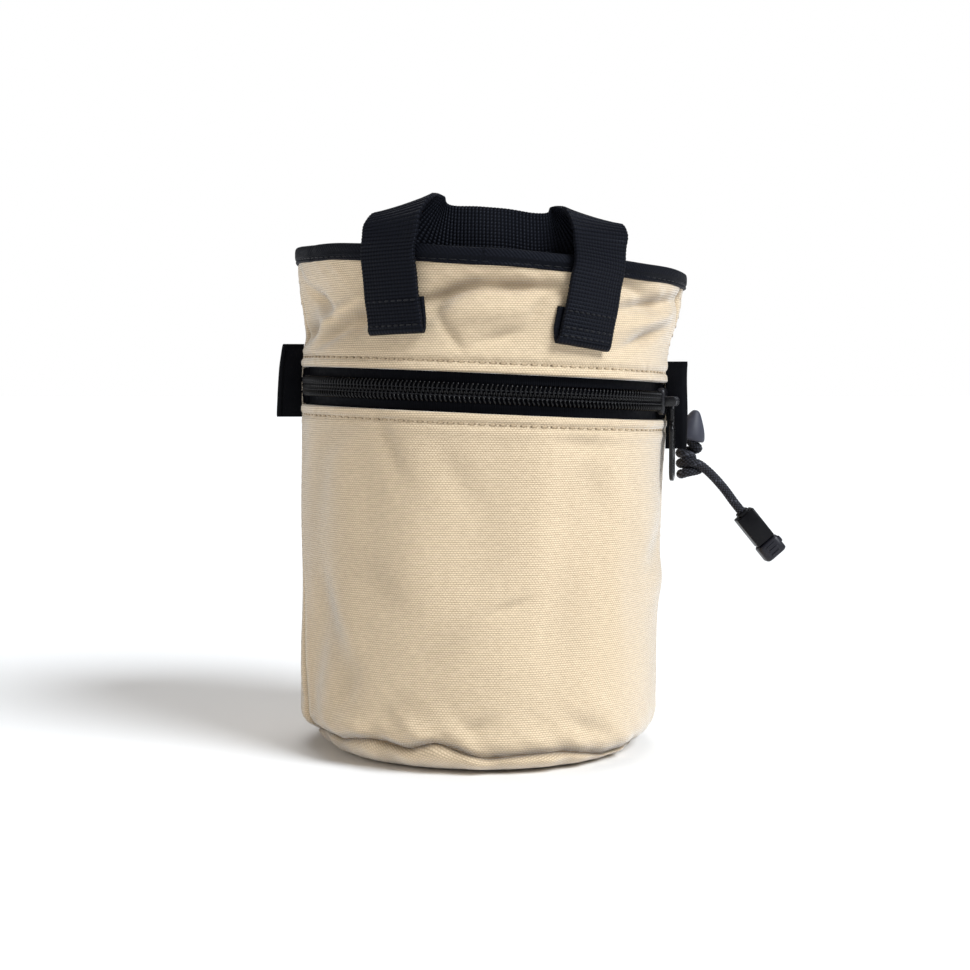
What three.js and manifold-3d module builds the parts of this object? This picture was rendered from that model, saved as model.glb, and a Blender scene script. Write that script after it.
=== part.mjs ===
// A climbing chalk bag: a round canvas bag with a bound mouth, a zip pocket across its front,
// a webbing strap, two side tabs and a drawcord with a lock.
// Millimetres, +Z up. The front faces -Y and the origin is the middle of the base, on the ground.
import * as THREE from 'three';
import { mergeVertices } from 'three/addons/utils/BufferGeometryUtils.js';
import Module from 'manifold-3d';

const wasm = await Module();
wasm.setup();

// Body
const BODY_RADIUS = 59;
const BODY_HEIGHT = 154.6;
const RIM_TILT = 4;
const WALL = 1.8;
const SEAT_GAP = 0.3;
const SEAM_LEFT_DEG = -82;
const SEAM_RIGHT_DEG = 84;
const SEAM_SWING_DEG = 11;
const SEAM_GAP = 0.5;
const FOLD_DEPTH = 2;

// Base
const BASE_LIFT = 5;
const BASE_ROLL = 13;

// Rim binding
const BINDING_HEIGHT = 5.2;
const BINDING_LIP = 0.9;

// Zip
const ZIP_HEIGHT = 114.6;
const ZIP_TILT = 2.6;
const WINDOW_HEIGHT = 12;
const CHAIN_WIDTH = 6;
const CHAIN_PROUD = 0.5;
const TAPE_THICKNESS = 0.9;
const TAPE_LAP = 5;

// Zip slider, with a bar between two lugs
const SLIDER_DEG = 77;
const SLIDER_LENGTH = 9;
const SLIDER_SIDE = 1.3;
const SLIDER_PROUD = 0.9;
const LUG_THICKNESS = 1.4;
const LUG_HEIGHT = 3.2;
const LUG_PROUD = 3.7;
const BAR_RADIUS = 0.8;

// Zip puller
const EYE_WALL = 0.5;
const EYE_LENGTH = 4.2;
const PULLER_LENGTH = 25.6;
const PULLER_WIDTH = 6.5;
const PULLER_THICKNESS = 1.3;
const NECK_WIDTH = 3;
const NECK_LENGTH = 7;
const PULLER_HOLE_RADIUS = 1.2;
const PULLER_HOLE_INSET = 4;

// Webbing strap
const STRAP_WIDTH = 18;
const STRAP_THICKNESS = 1.5;
const STRAP_RISE = 16;
const LEG_DROP = 24;
const LEG_EASE = 0.9;
const TURN_LENGTH = 11;
const TURN_THICKNESS = 1.2;
const TURN_SHIFT = 1.2;

// Side tabs, folded tape
const TAB_TAPE = 1.1;
const TAB_SLIT = 0.6;
const LEFT_TAB_HEIGHT = 23.5;
const LEFT_TAB_ABOVE_ZIP = 4.2;
const LEFT_TAB_REACH = 7.6;
const LEFT_TAB_FLARE = 1.2;
const RIGHT_TAB_HEIGHT = 28.3;
const RIGHT_TAB_BELOW_ZIP = 3.8;
const RIGHT_TAB_REACH = 7;
const RIGHT_TAB_FLARE = 0;

// Drawcord, its eyelet, lock and end
const CORD_DIAMETER = 3;
const CORD_CLEARANCE = 0.35;
const EXIT_DEG = 97;
const EXIT_BELOW_ZIP = 8.6;
const EYELET_RADIUS = 4;
const EYELET_THICKNESS = 1.2;
const LOCK_LENGTH = 10.2;
const LOCK_RADIUS = 5;
const LOCK_DEPTH_SHARE = 0.82;
const END_LENGTH = 18;
const END_WIDTH = 7;
const END_DEPTH = 5;
const CLIP_LENGTH = 6;
const CLIP_EXTRA = 1.2;

const RAD = Math.PI / 180;
const UP = new THREE.Vector3(0, 0, 1);

// Radius of the body at each height, as shares of BODY_RADIUS on its four sides.
// The height is a share of BODY_HEIGHT.
const SECTIONS = [
  { height: 0.0, left: 0.968, right: 0.918, front: 0.965, back: 0.965 },
  { height: 0.035, left: 1.0, right: 0.934, front: 0.985, back: 0.985 },
  { height: 0.1, left: 1.027, right: 0.946, front: 1.0, back: 0.99 },
  { height: 0.3, left: 1.02, right: 0.961, front: 1.0, back: 0.98 },
  { height: 0.52, left: 1.014, right: 0.985, front: 1.0, back: 0.98 },
  { height: 0.69, left: 1.012, right: 1.0, front: 1.007, back: 0.99 },
  { height: 0.79, left: 1.01, right: 0.996, front: 1.01, back: 1.0 },
  { height: 0.84, left: 0.998, right: 1.014, front: 1.015, back: 1.01 },
  { height: 0.875, left: 0.99, right: 1.046, front: 1.025, back: 1.02 },
  { height: 0.94, left: 1.012, right: 1.09, front: 1.045, back: 1.04 },
  { height: 1.0, left: 1.03, right: 1.1, front: 1.056, back: 1.05 },
  { height: 1.06, left: 1.03, right: 1.1, front: 1.056, back: 1.05 },
];

// Height of the base seam round the body, as shares of BASE_LIFT.
const SEAM_WAVES = [
  { angle: -180, lift: 1.0 },
  { angle: -130, lift: 0.9 },
  { angle: -90, lift: 0.9 },
  { angle: -62, lift: 1.05 },
  { angle: -44, lift: 1.7 },
  { angle: -27, lift: 1.4 },
  { angle: 0, lift: 0.95 },
  { angle: 28, lift: 1.0 },
  { angle: 44, lift: 0.7 },
  { angle: 70, lift: 0.6 },
  { angle: 100, lift: 0.7 },
  { angle: 140, lift: 0.9 },
  { angle: 180, lift: 1.0 },
];

// Hollows of the soft wall: middle, half sizes and lean of each, with its depth.
// Heights are shares of BODY_HEIGHT, depths are shares of FOLD_DEPTH.
const FOLDS = [
  { angle: -67, height: 0.925, half_angle: 11, half_height: 0.035, lean: 0.45, depth: 1.2 },
  { angle: -44, height: 0.885, half_angle: 9, half_height: 0.04, lean: -0.2, depth: 0.7 },
  { angle: 2, height: 0.945, half_angle: 22, half_height: 0.022, lean: -0.1, depth: 0.7 },
  { angle: -13, height: 0.915, half_angle: 7, half_height: 0.03, lean: 0.4, depth: 0.6 },
  { angle: 58, height: 0.915, half_angle: 13, half_height: 0.025, lean: -0.3, depth: 0.8 },
  { angle: 64, height: 0.855, half_angle: 14, half_height: 0.022, lean: -0.3, depth: 0.7 },
  { angle: -64, height: 0.23, half_angle: 9, half_height: 0.16, lean: 0.6, depth: 1.3 },
  { angle: 24, height: 0.4, half_angle: 16, half_height: 0.2, lean: 0.2, depth: 0.5 },
  { angle: 150, height: 0.5, half_angle: 24, half_height: 0.2, lean: 0.3, depth: 0.8 },
  { angle: -140, height: 0.3, half_angle: 20, half_height: 0.16, lean: -0.3, depth: 0.9 },
];

// The strap's free run from the left leg to the right one. Sideways and inward are shares of
// BODY_RADIUS, rise is a share of STRAP_RISE above the rim's middle height, and the last three
// point across the webbing, from the left leg's outer edge to its inner one.
const STRAP_RUN = [
  { sideways: -0.476, inward: -0.988, rise: 0.36, across_x: 0.91, across_y: -0.41, across_z: 0.04 },
  { sideways: -0.458, inward: -0.975, rise: 0.71, across_x: 0.93, across_y: -0.28, across_z: 0.18 },
  { sideways: -0.395, inward: -0.925, rise: 0.95, across_x: 0.93, across_y: -0.12, across_z: 0.34 },
  { sideways: -0.295, inward: -0.872, rise: 0.72, across_x: 0.6, across_y: 0.02, across_z: 0.8 },
  { sideways: -0.18, inward: -0.878, rise: 0.44, across_x: 0.08, across_y: 0.0, across_z: 1.0 },
  { sideways: 0.07, inward: -0.912, rise: 0.37, across_x: 0.0, across_y: 0.0, across_z: 1.0 },
  { sideways: 0.31, inward: -0.872, rise: 0.29, across_x: -0.08, across_y: 0.0, across_z: 1.0 },
  { sideways: 0.425, inward: -0.84, rise: 0.52, across_x: -0.6, across_y: -0.06, across_z: 0.8 },
  { sideways: 0.53, inward: -0.88, rise: 0.74, across_x: -0.92, across_y: -0.26, across_z: 0.28 },
  { sideways: 0.573, inward: -0.924, rise: 0.5, across_x: -0.92, across_y: -0.36, across_z: 0.1 },
  { sideways: 0.574, inward: -0.932, rise: 0.2, across_x: -0.87, across_y: -0.48, across_z: 0.1 },
];

// Where the two legs run down the wall: at the foot, at the rim, and how they lean.
const LEGS = [
  { name: 'left', foot_deg: -25.3, rim_deg: -26.6, lean_deg: 2, turned_side: 1 },
  { name: 'right', foot_deg: 28.3, rim_deg: 31.6, lean_deg: -8, turned_side: -1 },
];

// The drawcord's way from the eyelet through the lock and its knot to its end,
// in mm from the exit point on the wall.
const CORD_POINTS = [
  [0.5, 0.06, 0],
  [2.0, 0.1, 0.1],
  [3.6, 0.0, -0.8],
  [4.9, -0.1, -2.1],
  [9.3, -0.1, -6.5],
  [10.8, -0.1, -8.1],
  [12.6, 0.6, -9.6],
  [11.9, 2.4, -10.2],
  [9.8, 3.1, -10.6],
  [7.4, 2.0, -11.0],
  [6.6, -0.4, -11.3],
  [7.8, -2.6, -11.6],
  [10.0, -2.4, -12.3],
  [10.4, -0.6, -13.6],
  [9.8, -0.1, -15.2],
  [9.2, -0.1, -16.9],
  [7.7, -0.5, -18.1],
  [6.7, -1.5, -18.2],
  [7.8, -3.0, -17.8],
  [10.0, -3.3, -17.3],
  [12.2, -2.2, -16.9],
  [12.9, 0.1, -16.4],
  [12.0, 2.3, -15.9],
  [9.8, 3.1, -15.4],
  [7.5, 2.1, -15.0],
  [6.7, -0.3, -14.6],
  [7.7, -2.7, -14.3],
  [10.0, -3.9, -14.2],
  [12.6, -4.0, -15.0],
  [15.0, -3.6, -16.8],
  [18.0, -2.6, -19.6],
  [21.4, -1.4, -23.4],
  [24.6, -0.5, -27.6],
  [27.7, 0.0, -31.4],
];

// Where the lock's foot lies, in mm from the exit point on the wall, and how it leans
const LOCK_FOOT = new THREE.Vector3(9.6, -0.1, -6.9);
const LOCK_AXIS = new THREE.Vector3(0.23, 0, 1).normalize();

// The lock's bell, as shares of its radius and length
const LOCK_PROFILE = [
  { radius: 0, height: 0 },
  { radius: 0.84, height: 0 },
  { radius: 1, height: 0.08 },
  { radius: 0.98, height: 0.2 },
  { radius: 0.86, height: 0.4 },
  { radius: 0.66, height: 0.62 },
  { radius: 0.44, height: 0.82 },
  { radius: 0.24, height: 0.95 },
  { radius: 0, height: 1 },
];

// Reads a column of a table at a key, on a smooth curve through its rows.
function read(table, key, column, at) {
  const last = table.length - 1;
  let i = 0;
  while (i < last - 1 && at > table[i + 1][key]) i++;
  const a = table[i];
  const b = table[i + 1];
  const t = Math.min(1, Math.max(0, (at - a[key]) / (b[key] - a[key])));
  const before = table[Math.max(0, i - 1)];
  const after = table[Math.min(last, i + 2)];
  const step = b[key] - a[key];
  const slopeA = (step * (b[column] - before[column])) / (b[key] - before[key]);
  const slopeB = (step * (after[column] - a[column])) / (after[key] - a[key]);
  const t2 = t * t;
  const t3 = t2 * t;
  const ends = (2 * t3 - 3 * t2 + 1) * a[column] + (3 * t2 - 2 * t3) * b[column];
  return ends + (t3 - 2 * t2 + t) * slopeA + (t3 - t2) * slopeB;
}

// Angle folded into -180..180 degrees
const wrapDeg = (deg) => ((((deg + 180) % 360) + 360) % 360) - 180;

// Radius of the outer face without its hollows
function plainRadius(deg, z) {
  const s = Math.sin(deg * RAD);
  const c = Math.cos(deg * RAD);
  const at = z / BODY_HEIGHT;
  const side = s < 0 ? 'left' : 'right';
  const face = c > 0 ? 'front' : 'back';
  const share = s * s * read(SECTIONS, 'height', side, at) + c * c * read(SECTIONS, 'height', face, at);
  return BODY_RADIUS * share;
}

// Depth of the hollows at a place of the wall
function foldDepth(deg, z) {
  let depth = 0;
  for (const fold of FOLDS) {
    const along = wrapDeg(deg - fold.angle) / fold.half_angle;
    const up = (z / BODY_HEIGHT - fold.height) / fold.half_height - fold.lean * along;
    depth += fold.depth * Math.exp(-along * along - up * up);
  }
  return FOLD_DEPTH * depth;
}

function around(deg, radius, z) {
  return new THREE.Vector3(radius * Math.sin(deg * RAD), -radius * Math.cos(deg * RAD), z);
}

// A point of the wall: angle from the front (to the right is positive), height, offset outward
function wallPoint(deg, z, offset) {
  return around(deg, plainRadius(deg, z) - foldDepth(deg, z) + offset, z);
}

const cross = (a, b) => new THREE.Vector3().crossVectors(a, b);
const outward = (deg) => around(deg, 1, 0);
const tangent = (deg) => new THREE.Vector3(Math.cos(deg * RAD), Math.sin(deg * RAD), 0);

const rimHeight = (deg) => BODY_HEIGHT - RIM_TILT * Math.sin(deg * RAD);
const zipHeight = (deg) => ZIP_HEIGHT - ZIP_TILT * Math.sin(deg * RAD);
const baseSeam = (deg) => BASE_LIFT * read(SEAM_WAVES, 'angle', 'lift', wrapDeg(deg));
const wallTop = (deg) => rimHeight(deg) - BINDING_HEIGHT / 2 - SEAT_GAP;
const wallFoot = (deg) => baseSeam(deg) + SEAT_GAP / 2;

// The side seams swing toward the front: the right one near the rim, the left one near the base.
function swungDeg(deg, z) {
  const toRim = Math.max(0, (z - ZIP_HEIGHT) / (BODY_HEIGHT - ZIP_HEIGHT)) ** 2;
  const toBase = Math.max(0, (ZIP_HEIGHT - z) / ZIP_HEIGHT) ** 2;
  const nearRight = Math.exp(-(((deg - SEAM_RIGHT_DEG) / 30) ** 2));
  const nearLeft = Math.exp(-((wrapDeg(deg - SEAM_LEFT_DEG) / 30) ** 2));
  return deg + SEAM_SWING_DEG * (nearLeft * toBase - nearRight * toRim);
}

// A closed body between two sheets of points
function between(outer, inner, columns, rows) {
  const points = [];
  const faces = [];
  const wide = columns + 1;
  for (const sheet of [outer, inner]) {
    for (let j = 0; j <= rows; j++) {
      for (let i = 0; i < wide; i++) points.push(sheet(i / columns, j / rows));
    }
  }
  const layer = wide * (rows + 1);
  const id = (side, i, j) => side * layer + j * wide + i;
  const quad = (a, b, c, d) => faces.push([a, b, c], [a, c, d]);
  for (let j = 0; j < rows; j++) {
    for (let i = 0; i < columns; i++) {
      quad(id(0, i, j), id(0, i + 1, j), id(0, i + 1, j + 1), id(0, i, j + 1));
      quad(id(1, i, j), id(1, i, j + 1), id(1, i + 1, j + 1), id(1, i + 1, j));
    }
  }
  for (let i = 0; i < columns; i++) {
    quad(id(0, i, 0), id(1, i, 0), id(1, i + 1, 0), id(0, i + 1, 0));
    quad(id(0, i, rows), id(0, i + 1, rows), id(1, i + 1, rows), id(1, i, rows));
  }
  for (let j = 0; j < rows; j++) {
    quad(id(0, 0, j), id(0, 0, j + 1), id(1, 0, j + 1), id(1, 0, j));
    quad(id(0, columns, j), id(1, columns, j), id(1, columns, j + 1), id(0, columns, j + 1));
  }
  return fromFaces(points, faces);
}

// A geometry from points and triangles, turned so that its faces point outward
function fromFaces(points, faces) {
  let volume = 0;
  for (const [a, b, c] of faces) {
    volume += points[a].dot(new THREE.Vector3().crossVectors(points[b], points[c]));
  }
  const index = volume < 0 ? faces.flatMap(([a, b, c]) => [a, c, b]) : faces.flat();
  const geometry = new THREE.BufferGeometry();
  const coordinates = points.flatMap((p) => [p.x, p.y, p.z]);
  geometry.setAttribute('position', new THREE.Float32BufferAttribute(coordinates, 3));
  geometry.setIndex(index);
  geometry.computeVertexNormals();
  return geometry;
}

// Joining and cutting of closed bodies
function toManifold(geometry) {
  const bare = geometry.clone();
  bare.deleteAttribute('normal');
  bare.deleteAttribute('uv');
  const merged = mergeVertices(bare, 1e-4);
  const vertProperties = new Float32Array(merged.attributes.position.array);
  const triVerts = new Uint32Array(merged.index.array);
  return new wasm.Manifold(new wasm.Mesh({ numProp: 3, vertProperties, triVerts }));
}

function fromManifold(solid) {
  const mesh = solid.getMesh();
  const geometry = new THREE.BufferGeometry();
  geometry.setAttribute('position', new THREE.Float32BufferAttribute(mesh.vertProperties, 3));
  geometry.setIndex([...mesh.triVerts]);
  geometry.computeVertexNormals();
  return geometry;
}

const joined = (...parts) => fromManifold(parts.map(toManifold).reduce((a, b) => a.add(b)));
const cut = (body, tool) => fromManifold(toManifold(body).subtract(toManifold(tool)));

// A straight body from a drawn outline, whose first axis runs along x, second along y
function plate(shape, thickness, curveSegments = 4) {
  return new THREE.ExtrudeGeometry(shape, { depth: thickness, bevelEnabled: false, curveSegments });
}

function roundedRectangle(width, height, radius) {
  const shape = new THREE.Shape();
  const w = width / 2;
  const h = height / 2;
  shape.moveTo(-w + radius, -h);
  shape.lineTo(w - radius, -h);
  shape.absarc(w - radius, -h + radius, radius, -Math.PI / 2, 0, false);
  shape.lineTo(w, h - radius);
  shape.absarc(w - radius, h - radius, radius, 0, Math.PI / 2, false);
  shape.lineTo(-w + radius, h);
  shape.absarc(-w + radius, h - radius, radius, Math.PI / 2, Math.PI, false);
  shape.lineTo(-w, -h + radius);
  shape.absarc(-w + radius, -h + radius, radius, Math.PI, 1.5 * Math.PI, false);
  return shape;
}

// Moves a geometry so that its x, y and z axes lie along three given ones, from an origin
function seated(geometry, origin, x, y, z) {
  const place = new THREE.Matrix4().makeBasis(x, y, z).setPosition(origin);
  return geometry.clone().applyMatrix4(place);
}

const group = new THREE.Group();
function add(name, geometry, color, roughness, metalness = 0) {
  const material = new THREE.MeshStandardMaterial({ color, roughness, metalness });
  const mesh = new THREE.Mesh(geometry, material);
  mesh.name = name;
  group.add(mesh);
}

const CANVAS = 0xdcc49c;
const BLACK_CLOTH = 0x15151a;
const BLACK_METAL = 0x1b1b1f;

// Canvas panels. Each spans two angles, from one height line to another. The zip's pieces have
// the front panels' columns, so that their facets run side by side.
const FRONT_COLUMNS = 32;
const seamHalfGap = SEAM_GAP / 2 / BODY_RADIUS / RAD;
function panel(fromDeg, toDeg, low, high, columns, rows) {
  const sheet = (offset) => (u, v) => {
    const drawn = THREE.MathUtils.lerp(fromDeg + seamHalfGap, toDeg - seamHalfGap, u);
    let deg = drawn;
    let z = 0;
    for (let pass = 0; pass < 4; pass++) {
      z = THREE.MathUtils.lerp(low(deg), high(deg), v);
      deg = swungDeg(drawn, z);
    }
    return wallPoint(deg, z, offset);
  };
  return between(sheet(0), sheet(-WALL), columns, rows);
}

const windowTop = (deg) => zipHeight(deg) + WINDOW_HEIGHT / 2;
const windowFoot = (deg) => zipHeight(deg) - WINDOW_HEIGHT / 2;
const upperPanel = panel(SEAM_LEFT_DEG, SEAM_RIGHT_DEG, windowTop, wallTop, FRONT_COLUMNS, 7);
const lowerPanel = panel(SEAM_LEFT_DEG, SEAM_RIGHT_DEG, wallFoot, windowFoot, FRONT_COLUMNS, 9);
const backPanel = panel(SEAM_RIGHT_DEG, SEAM_LEFT_DEG + 360, wallFoot, wallTop, 27, 12);
add('front_upper_panel', upperPanel, CANVAS, 0.9);
add('front_lower_panel', lowerPanel, CANVAS, 0.9);
add('back_panel', backPanel, CANVAS, 0.9);

// Base: a flat middle that stands on the ground, rolled up all round to the base seam.
// An odd number of sides keeps the edges of its flat face off the middle point.
const BASE_SIDES = 51;
const BASE_RINGS = 4;
function basePanel() {
  const points = [];
  const faces = [];
  const ring = (place) => {
    const first = points.length;
    for (let i = 0; i < BASE_SIDES; i++) points.push(place(wrapDeg((i * 360) / BASE_SIDES)));
    return first;
  };
  const seamRadius = (deg) => plainRadius(deg, baseSeam(deg)) - foldDepth(deg, baseSeam(deg));
  const under = (t) => (deg) => {
    const radius = seamRadius(deg) - BASE_ROLL * (1 - Math.sin((t * Math.PI) / 2));
    return around(deg, radius, (baseSeam(deg) - SEAT_GAP / 2) * (1 - Math.cos((t * Math.PI) / 2)));
  };
  const inside = (t) => (deg) => {
    const radius = seamRadius(deg) - WALL - (BASE_ROLL - WALL) * (1 - t);
    return around(deg, radius, THREE.MathUtils.lerp(WALL, baseSeam(deg) - SEAT_GAP / 2, t * t));
  };
  const rings = [];
  for (let k = 0; k <= BASE_RINGS; k++) rings.push(ring(under(k / BASE_RINGS)));
  for (let k = BASE_RINGS; k >= 0; k--) rings.push(ring(inside(k / BASE_RINGS)));
  for (let k = 0; k < rings.length - 1; k++) {
    for (let i = 0; i < BASE_SIDES; i++) {
      const j = (i + 1) % BASE_SIDES;
      faces.push([rings[k] + i, rings[k] + j, rings[k + 1] + j]);
      faces.push([rings[k] + i, rings[k + 1] + j, rings[k + 1] + i]);
    }
  }
  const top = rings[rings.length - 1];
  for (let i = 1; i < BASE_SIDES - 1; i++) {
    faces.push([rings[0], rings[0] + i + 1, rings[0] + i]);
    faces.push([top, top + i, top + i + 1]);
  }
  return fromFaces(points, faces);
}
add('base_panel', basePanel(), CANVAS, 0.9);

// Rim binding: a rounded band that sits on the top edge of the wall all round
const BINDING_CORNERS = 8;
function rimBinding() {
  const halfWidth = WALL / 2 + BINDING_LIP;
  const section = roundedRectangle(2 * halfWidth, BINDING_HEIGHT, halfWidth * 0.75);
  const corners = section.getSpacedPoints(BINDING_CORNERS).slice(0, BINDING_CORNERS);
  const points = [];
  const faces = [];
  const steps = 64;
  for (let i = 0; i < steps; i++) {
    const deg = wrapDeg((i * 360) / steps);
    for (const corner of corners) {
      points.push(wallPoint(deg, rimHeight(deg), corner.x - WALL / 2).setZ(rimHeight(deg) + corner.y));
    }
  }
  for (let i = 0; i < steps; i++) {
    for (let k = 0; k < BINDING_CORNERS; k++) {
      const here = i * BINDING_CORNERS;
      const next = ((i + 1) % steps) * BINDING_CORNERS;
      const m = (k + 1) % BINDING_CORNERS;
      faces.push([here + k, next + k, next + m], [here + k, next + m, here + m]);
    }
  }
  return fromFaces(points, faces);
}
add('rim_binding', rimBinding(), BLACK_CLOTH, 0.85);

// Zip: two tapes behind the canvas and the chain in the window
const TAPE_FACE = -(WALL + SEAT_GAP);
const sliderHalfDeg = SLIDER_LENGTH / 2 / BODY_RADIUS / RAD;
const chainEndDeg = SLIDER_DEG - sliderHalfDeg - SEAT_GAP / BODY_RADIUS / RAD;
const chainStartDeg = SEAM_LEFT_DEG + (TAB_SLIT / 2 + TAB_TAPE + SEAT_GAP) / BODY_RADIUS / RAD;

function zipStrip(toDeg, low, high, front, back) {
  const sheet = (offset) => (u, v) => {
    const deg = THREE.MathUtils.lerp(SEAM_LEFT_DEG + seamHalfGap, toDeg - seamHalfGap, u);
    return wallPoint(deg, zipHeight(deg) + THREE.MathUtils.lerp(low, high, v), offset);
  };
  return between(sheet(front), sheet(back), FRONT_COLUMNS, 2);
}
const tapeEdge = WINDOW_HEIGHT / 2 + TAPE_LAP;
const tapeBack = TAPE_FACE - TAPE_THICKNESS;
const upperTape = zipStrip(SEAM_RIGHT_DEG, SEAT_GAP / 2, tapeEdge, TAPE_FACE, tapeBack);
const lowerTape = zipStrip(SEAM_RIGHT_DEG, -tapeEdge, -SEAT_GAP / 2, TAPE_FACE, tapeBack);
add('zip_tape_upper', upperTape, BLACK_CLOTH, 0.85);
add('zip_tape_lower', lowerTape, BLACK_CLOTH, 0.85);

// The chain is a crowned band, fuller in its middle.
function zipChain() {
  const sheet = (crowned, offset) => (u, v) => {
    const deg = THREE.MathUtils.lerp(chainStartDeg, chainEndDeg, u);
    const height = zipHeight(deg);
    const crown = crowned * (1 - (2 * v - 1) ** 2);
    const point = wallPoint(deg, height, offset + crown);
    return point.setZ(height + CHAIN_WIDTH * (v - 0.5));
  };
  const crown = WALL / 2;
  const front = sheet(crown, CHAIN_PROUD - crown);
  return between(front, sheet(0, TAPE_FACE + SEAT_GAP), FRONT_COLUMNS, 4);
}
add('zip_chain', zipChain(), BLACK_METAL, 0.4);

// Slider frame: along the zip to the right, up, and out of the wall
const sliderHeight = zipHeight(SLIDER_DEG);
const sliderOrigin = wallPoint(SLIDER_DEG, sliderHeight, 0);
const alongZip = tangent(SLIDER_DEG);
const outOfWall = outward(SLIDER_DEG);
const eyeRadius = BAR_RADIUS + SEAT_GAP + EYE_WALL;
const barOffset = SLIDER_PROUD + SEAT_GAP + eyeRadius;

function alongBar(radius, length, sides = 16) {
  const shape = new THREE.Shape().absarc(0, 0, radius, 0, 2 * Math.PI);
  return plate(shape, length, sides).translate(0, 0, -length / 2);
}

const onSlider = (along, out) =>
  sliderOrigin.clone().addScaledVector(alongZip, along).addScaledVector(outOfWall, out);
const intoZip = cross(UP, outOfWall);

function zipSlider() {
  const height = CHAIN_WIDTH + 2 * SLIDER_SIDE;
  const back = TAPE_FACE + SEAT_GAP;
  const outline = roundedRectangle(SLIDER_LENGTH, height, SLIDER_SIDE);
  const body = plate(outline, SLIDER_PROUD - back).translate(0, 0, back);
  const lugOutline = roundedRectangle(LUG_HEIGHT, LUG_PROUD + SLIDER_SIDE, SLIDER_SIDE);
  const lug = plate(lugOutline, LUG_THICKNESS);
  const lugMiddle = SLIDER_PROUD + (LUG_PROUD - SLIDER_SIDE) / 2;
  const lugStart = EYE_LENGTH / 2 + SEAT_GAP;
  const bar = alongBar(BAR_RADIUS, 2 * lugStart + LUG_THICKNESS);
  return joined(
    seated(body, sliderOrigin, alongZip, UP, outOfWall),
    seated(lug, onSlider(lugStart, lugMiddle), UP, outOfWall, intoZip),
    seated(lug, onSlider(-lugStart - LUG_THICKNESS, lugMiddle), UP, outOfWall, intoZip),
    seated(bar, onSlider(0, barOffset), UP, outOfWall, intoZip),
  );
}
add('zip_slider', zipSlider(), BLACK_METAL, 0.35, 0.7);

// Puller: a narrow neck and a wider blade under an eye that turns on the slider's bar
function zipPuller() {
  const blade = new THREE.Shape();
  const half = PULLER_WIDTH / 2;
  const neck = NECK_WIDTH / 2;
  const shoulder = -NECK_LENGTH - (half - neck);
  const round = half * 0.75;
  blade.moveTo(-neck, -BAR_RADIUS - SEAT_GAP - EYE_WALL / 2);
  blade.lineTo(-neck, -NECK_LENGTH);
  blade.lineTo(-half, shoulder);
  blade.lineTo(-half, -PULLER_LENGTH + round);
  blade.absarc(-half + round, -PULLER_LENGTH + round, round, Math.PI, 1.5 * Math.PI, false);
  blade.absarc(half - round, -PULLER_LENGTH + round, round, -Math.PI / 2, 0, false);
  blade.lineTo(half, shoulder);
  blade.lineTo(neck, -NECK_LENGTH);
  blade.lineTo(neck, -BAR_RADIUS - SEAT_GAP - EYE_WALL / 2);
  const hole = new THREE.Path();
  hole.absarc(0, -PULLER_LENGTH + PULLER_HOLE_INSET, PULLER_HOLE_RADIUS, 0, 2 * Math.PI, true);
  blade.holes.push(hole);
  const ring = new THREE.Shape().absarc(0, 0, eyeRadius, 0, 2 * Math.PI);
  ring.holes.push(new THREE.Path().absarc(0, 0, BAR_RADIUS + SEAT_GAP, 0, 2 * Math.PI, true));
  const eye = plate(ring, EYE_LENGTH, 24).translate(0, 0, -EYE_LENGTH / 2);
  const pivot = onSlider(0, barOffset);
  const flat = plate(blade, PULLER_THICKNESS).translate(0, 0, -PULLER_THICKNESS / 2);
  return joined(seated(eye, pivot, UP, outOfWall, intoZip), seated(flat, pivot, alongZip, UP, outOfWall));
}
add('zip_puller', zipPuller(), BLACK_METAL, 0.3, 0.8);

// Strap: stations on the wall for each leg, and the free run between them
const legFoot = (leg) => rimHeight(leg.rim_deg) - LEG_DROP;
const turnSeat = TURN_THICKNESS + LEG_EASE;
const bindingSeat = BINDING_LIP + LEG_EASE;

function legStations(leg, facing) {
  const foot = legFoot(leg);
  const rim = rimHeight(leg.rim_deg);
  const turnTop = foot + TURN_LENGTH;
  const rows = [
    { z: foot, seat: turnSeat },
    { z: foot + TURN_LENGTH / 2, seat: turnSeat },
    { z: turnTop, seat: turnSeat },
    { z: rim - BINDING_HEIGHT, seat: bindingSeat },
    { z: rim, seat: bindingSeat },
  ];
  return rows.map(({ z, seat }) => {
    const deg = THREE.MathUtils.lerp(leg.foot_deg, leg.rim_deg, (z - foot) / (rim - foot));
    const across = tangent(deg).multiplyScalar(Math.cos(leg.lean_deg * RAD));
    across.addScaledVector(UP, Math.sin(leg.lean_deg * RAD)).multiplyScalar(facing);
    const radius = plainRadius(deg, z) + seat + STRAP_THICKNESS / 2;
    return { middle: around(deg, radius, z), across, bend: 1 };
  });
}

const strapStations = [
  ...legStations(LEGS[0], 1),
  ...STRAP_RUN.map((row) => ({
    middle: new THREE.Vector3(
      row.sideways * BODY_RADIUS,
      row.inward * BODY_RADIUS,
      BODY_HEIGHT + row.rise * STRAP_RISE,
    ),
    across: new THREE.Vector3(row.across_x, row.across_y, row.across_z).normalize(),
    bend: 0,
  })),
  ...legStations(LEGS[1], -1).reverse(),
];

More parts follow.
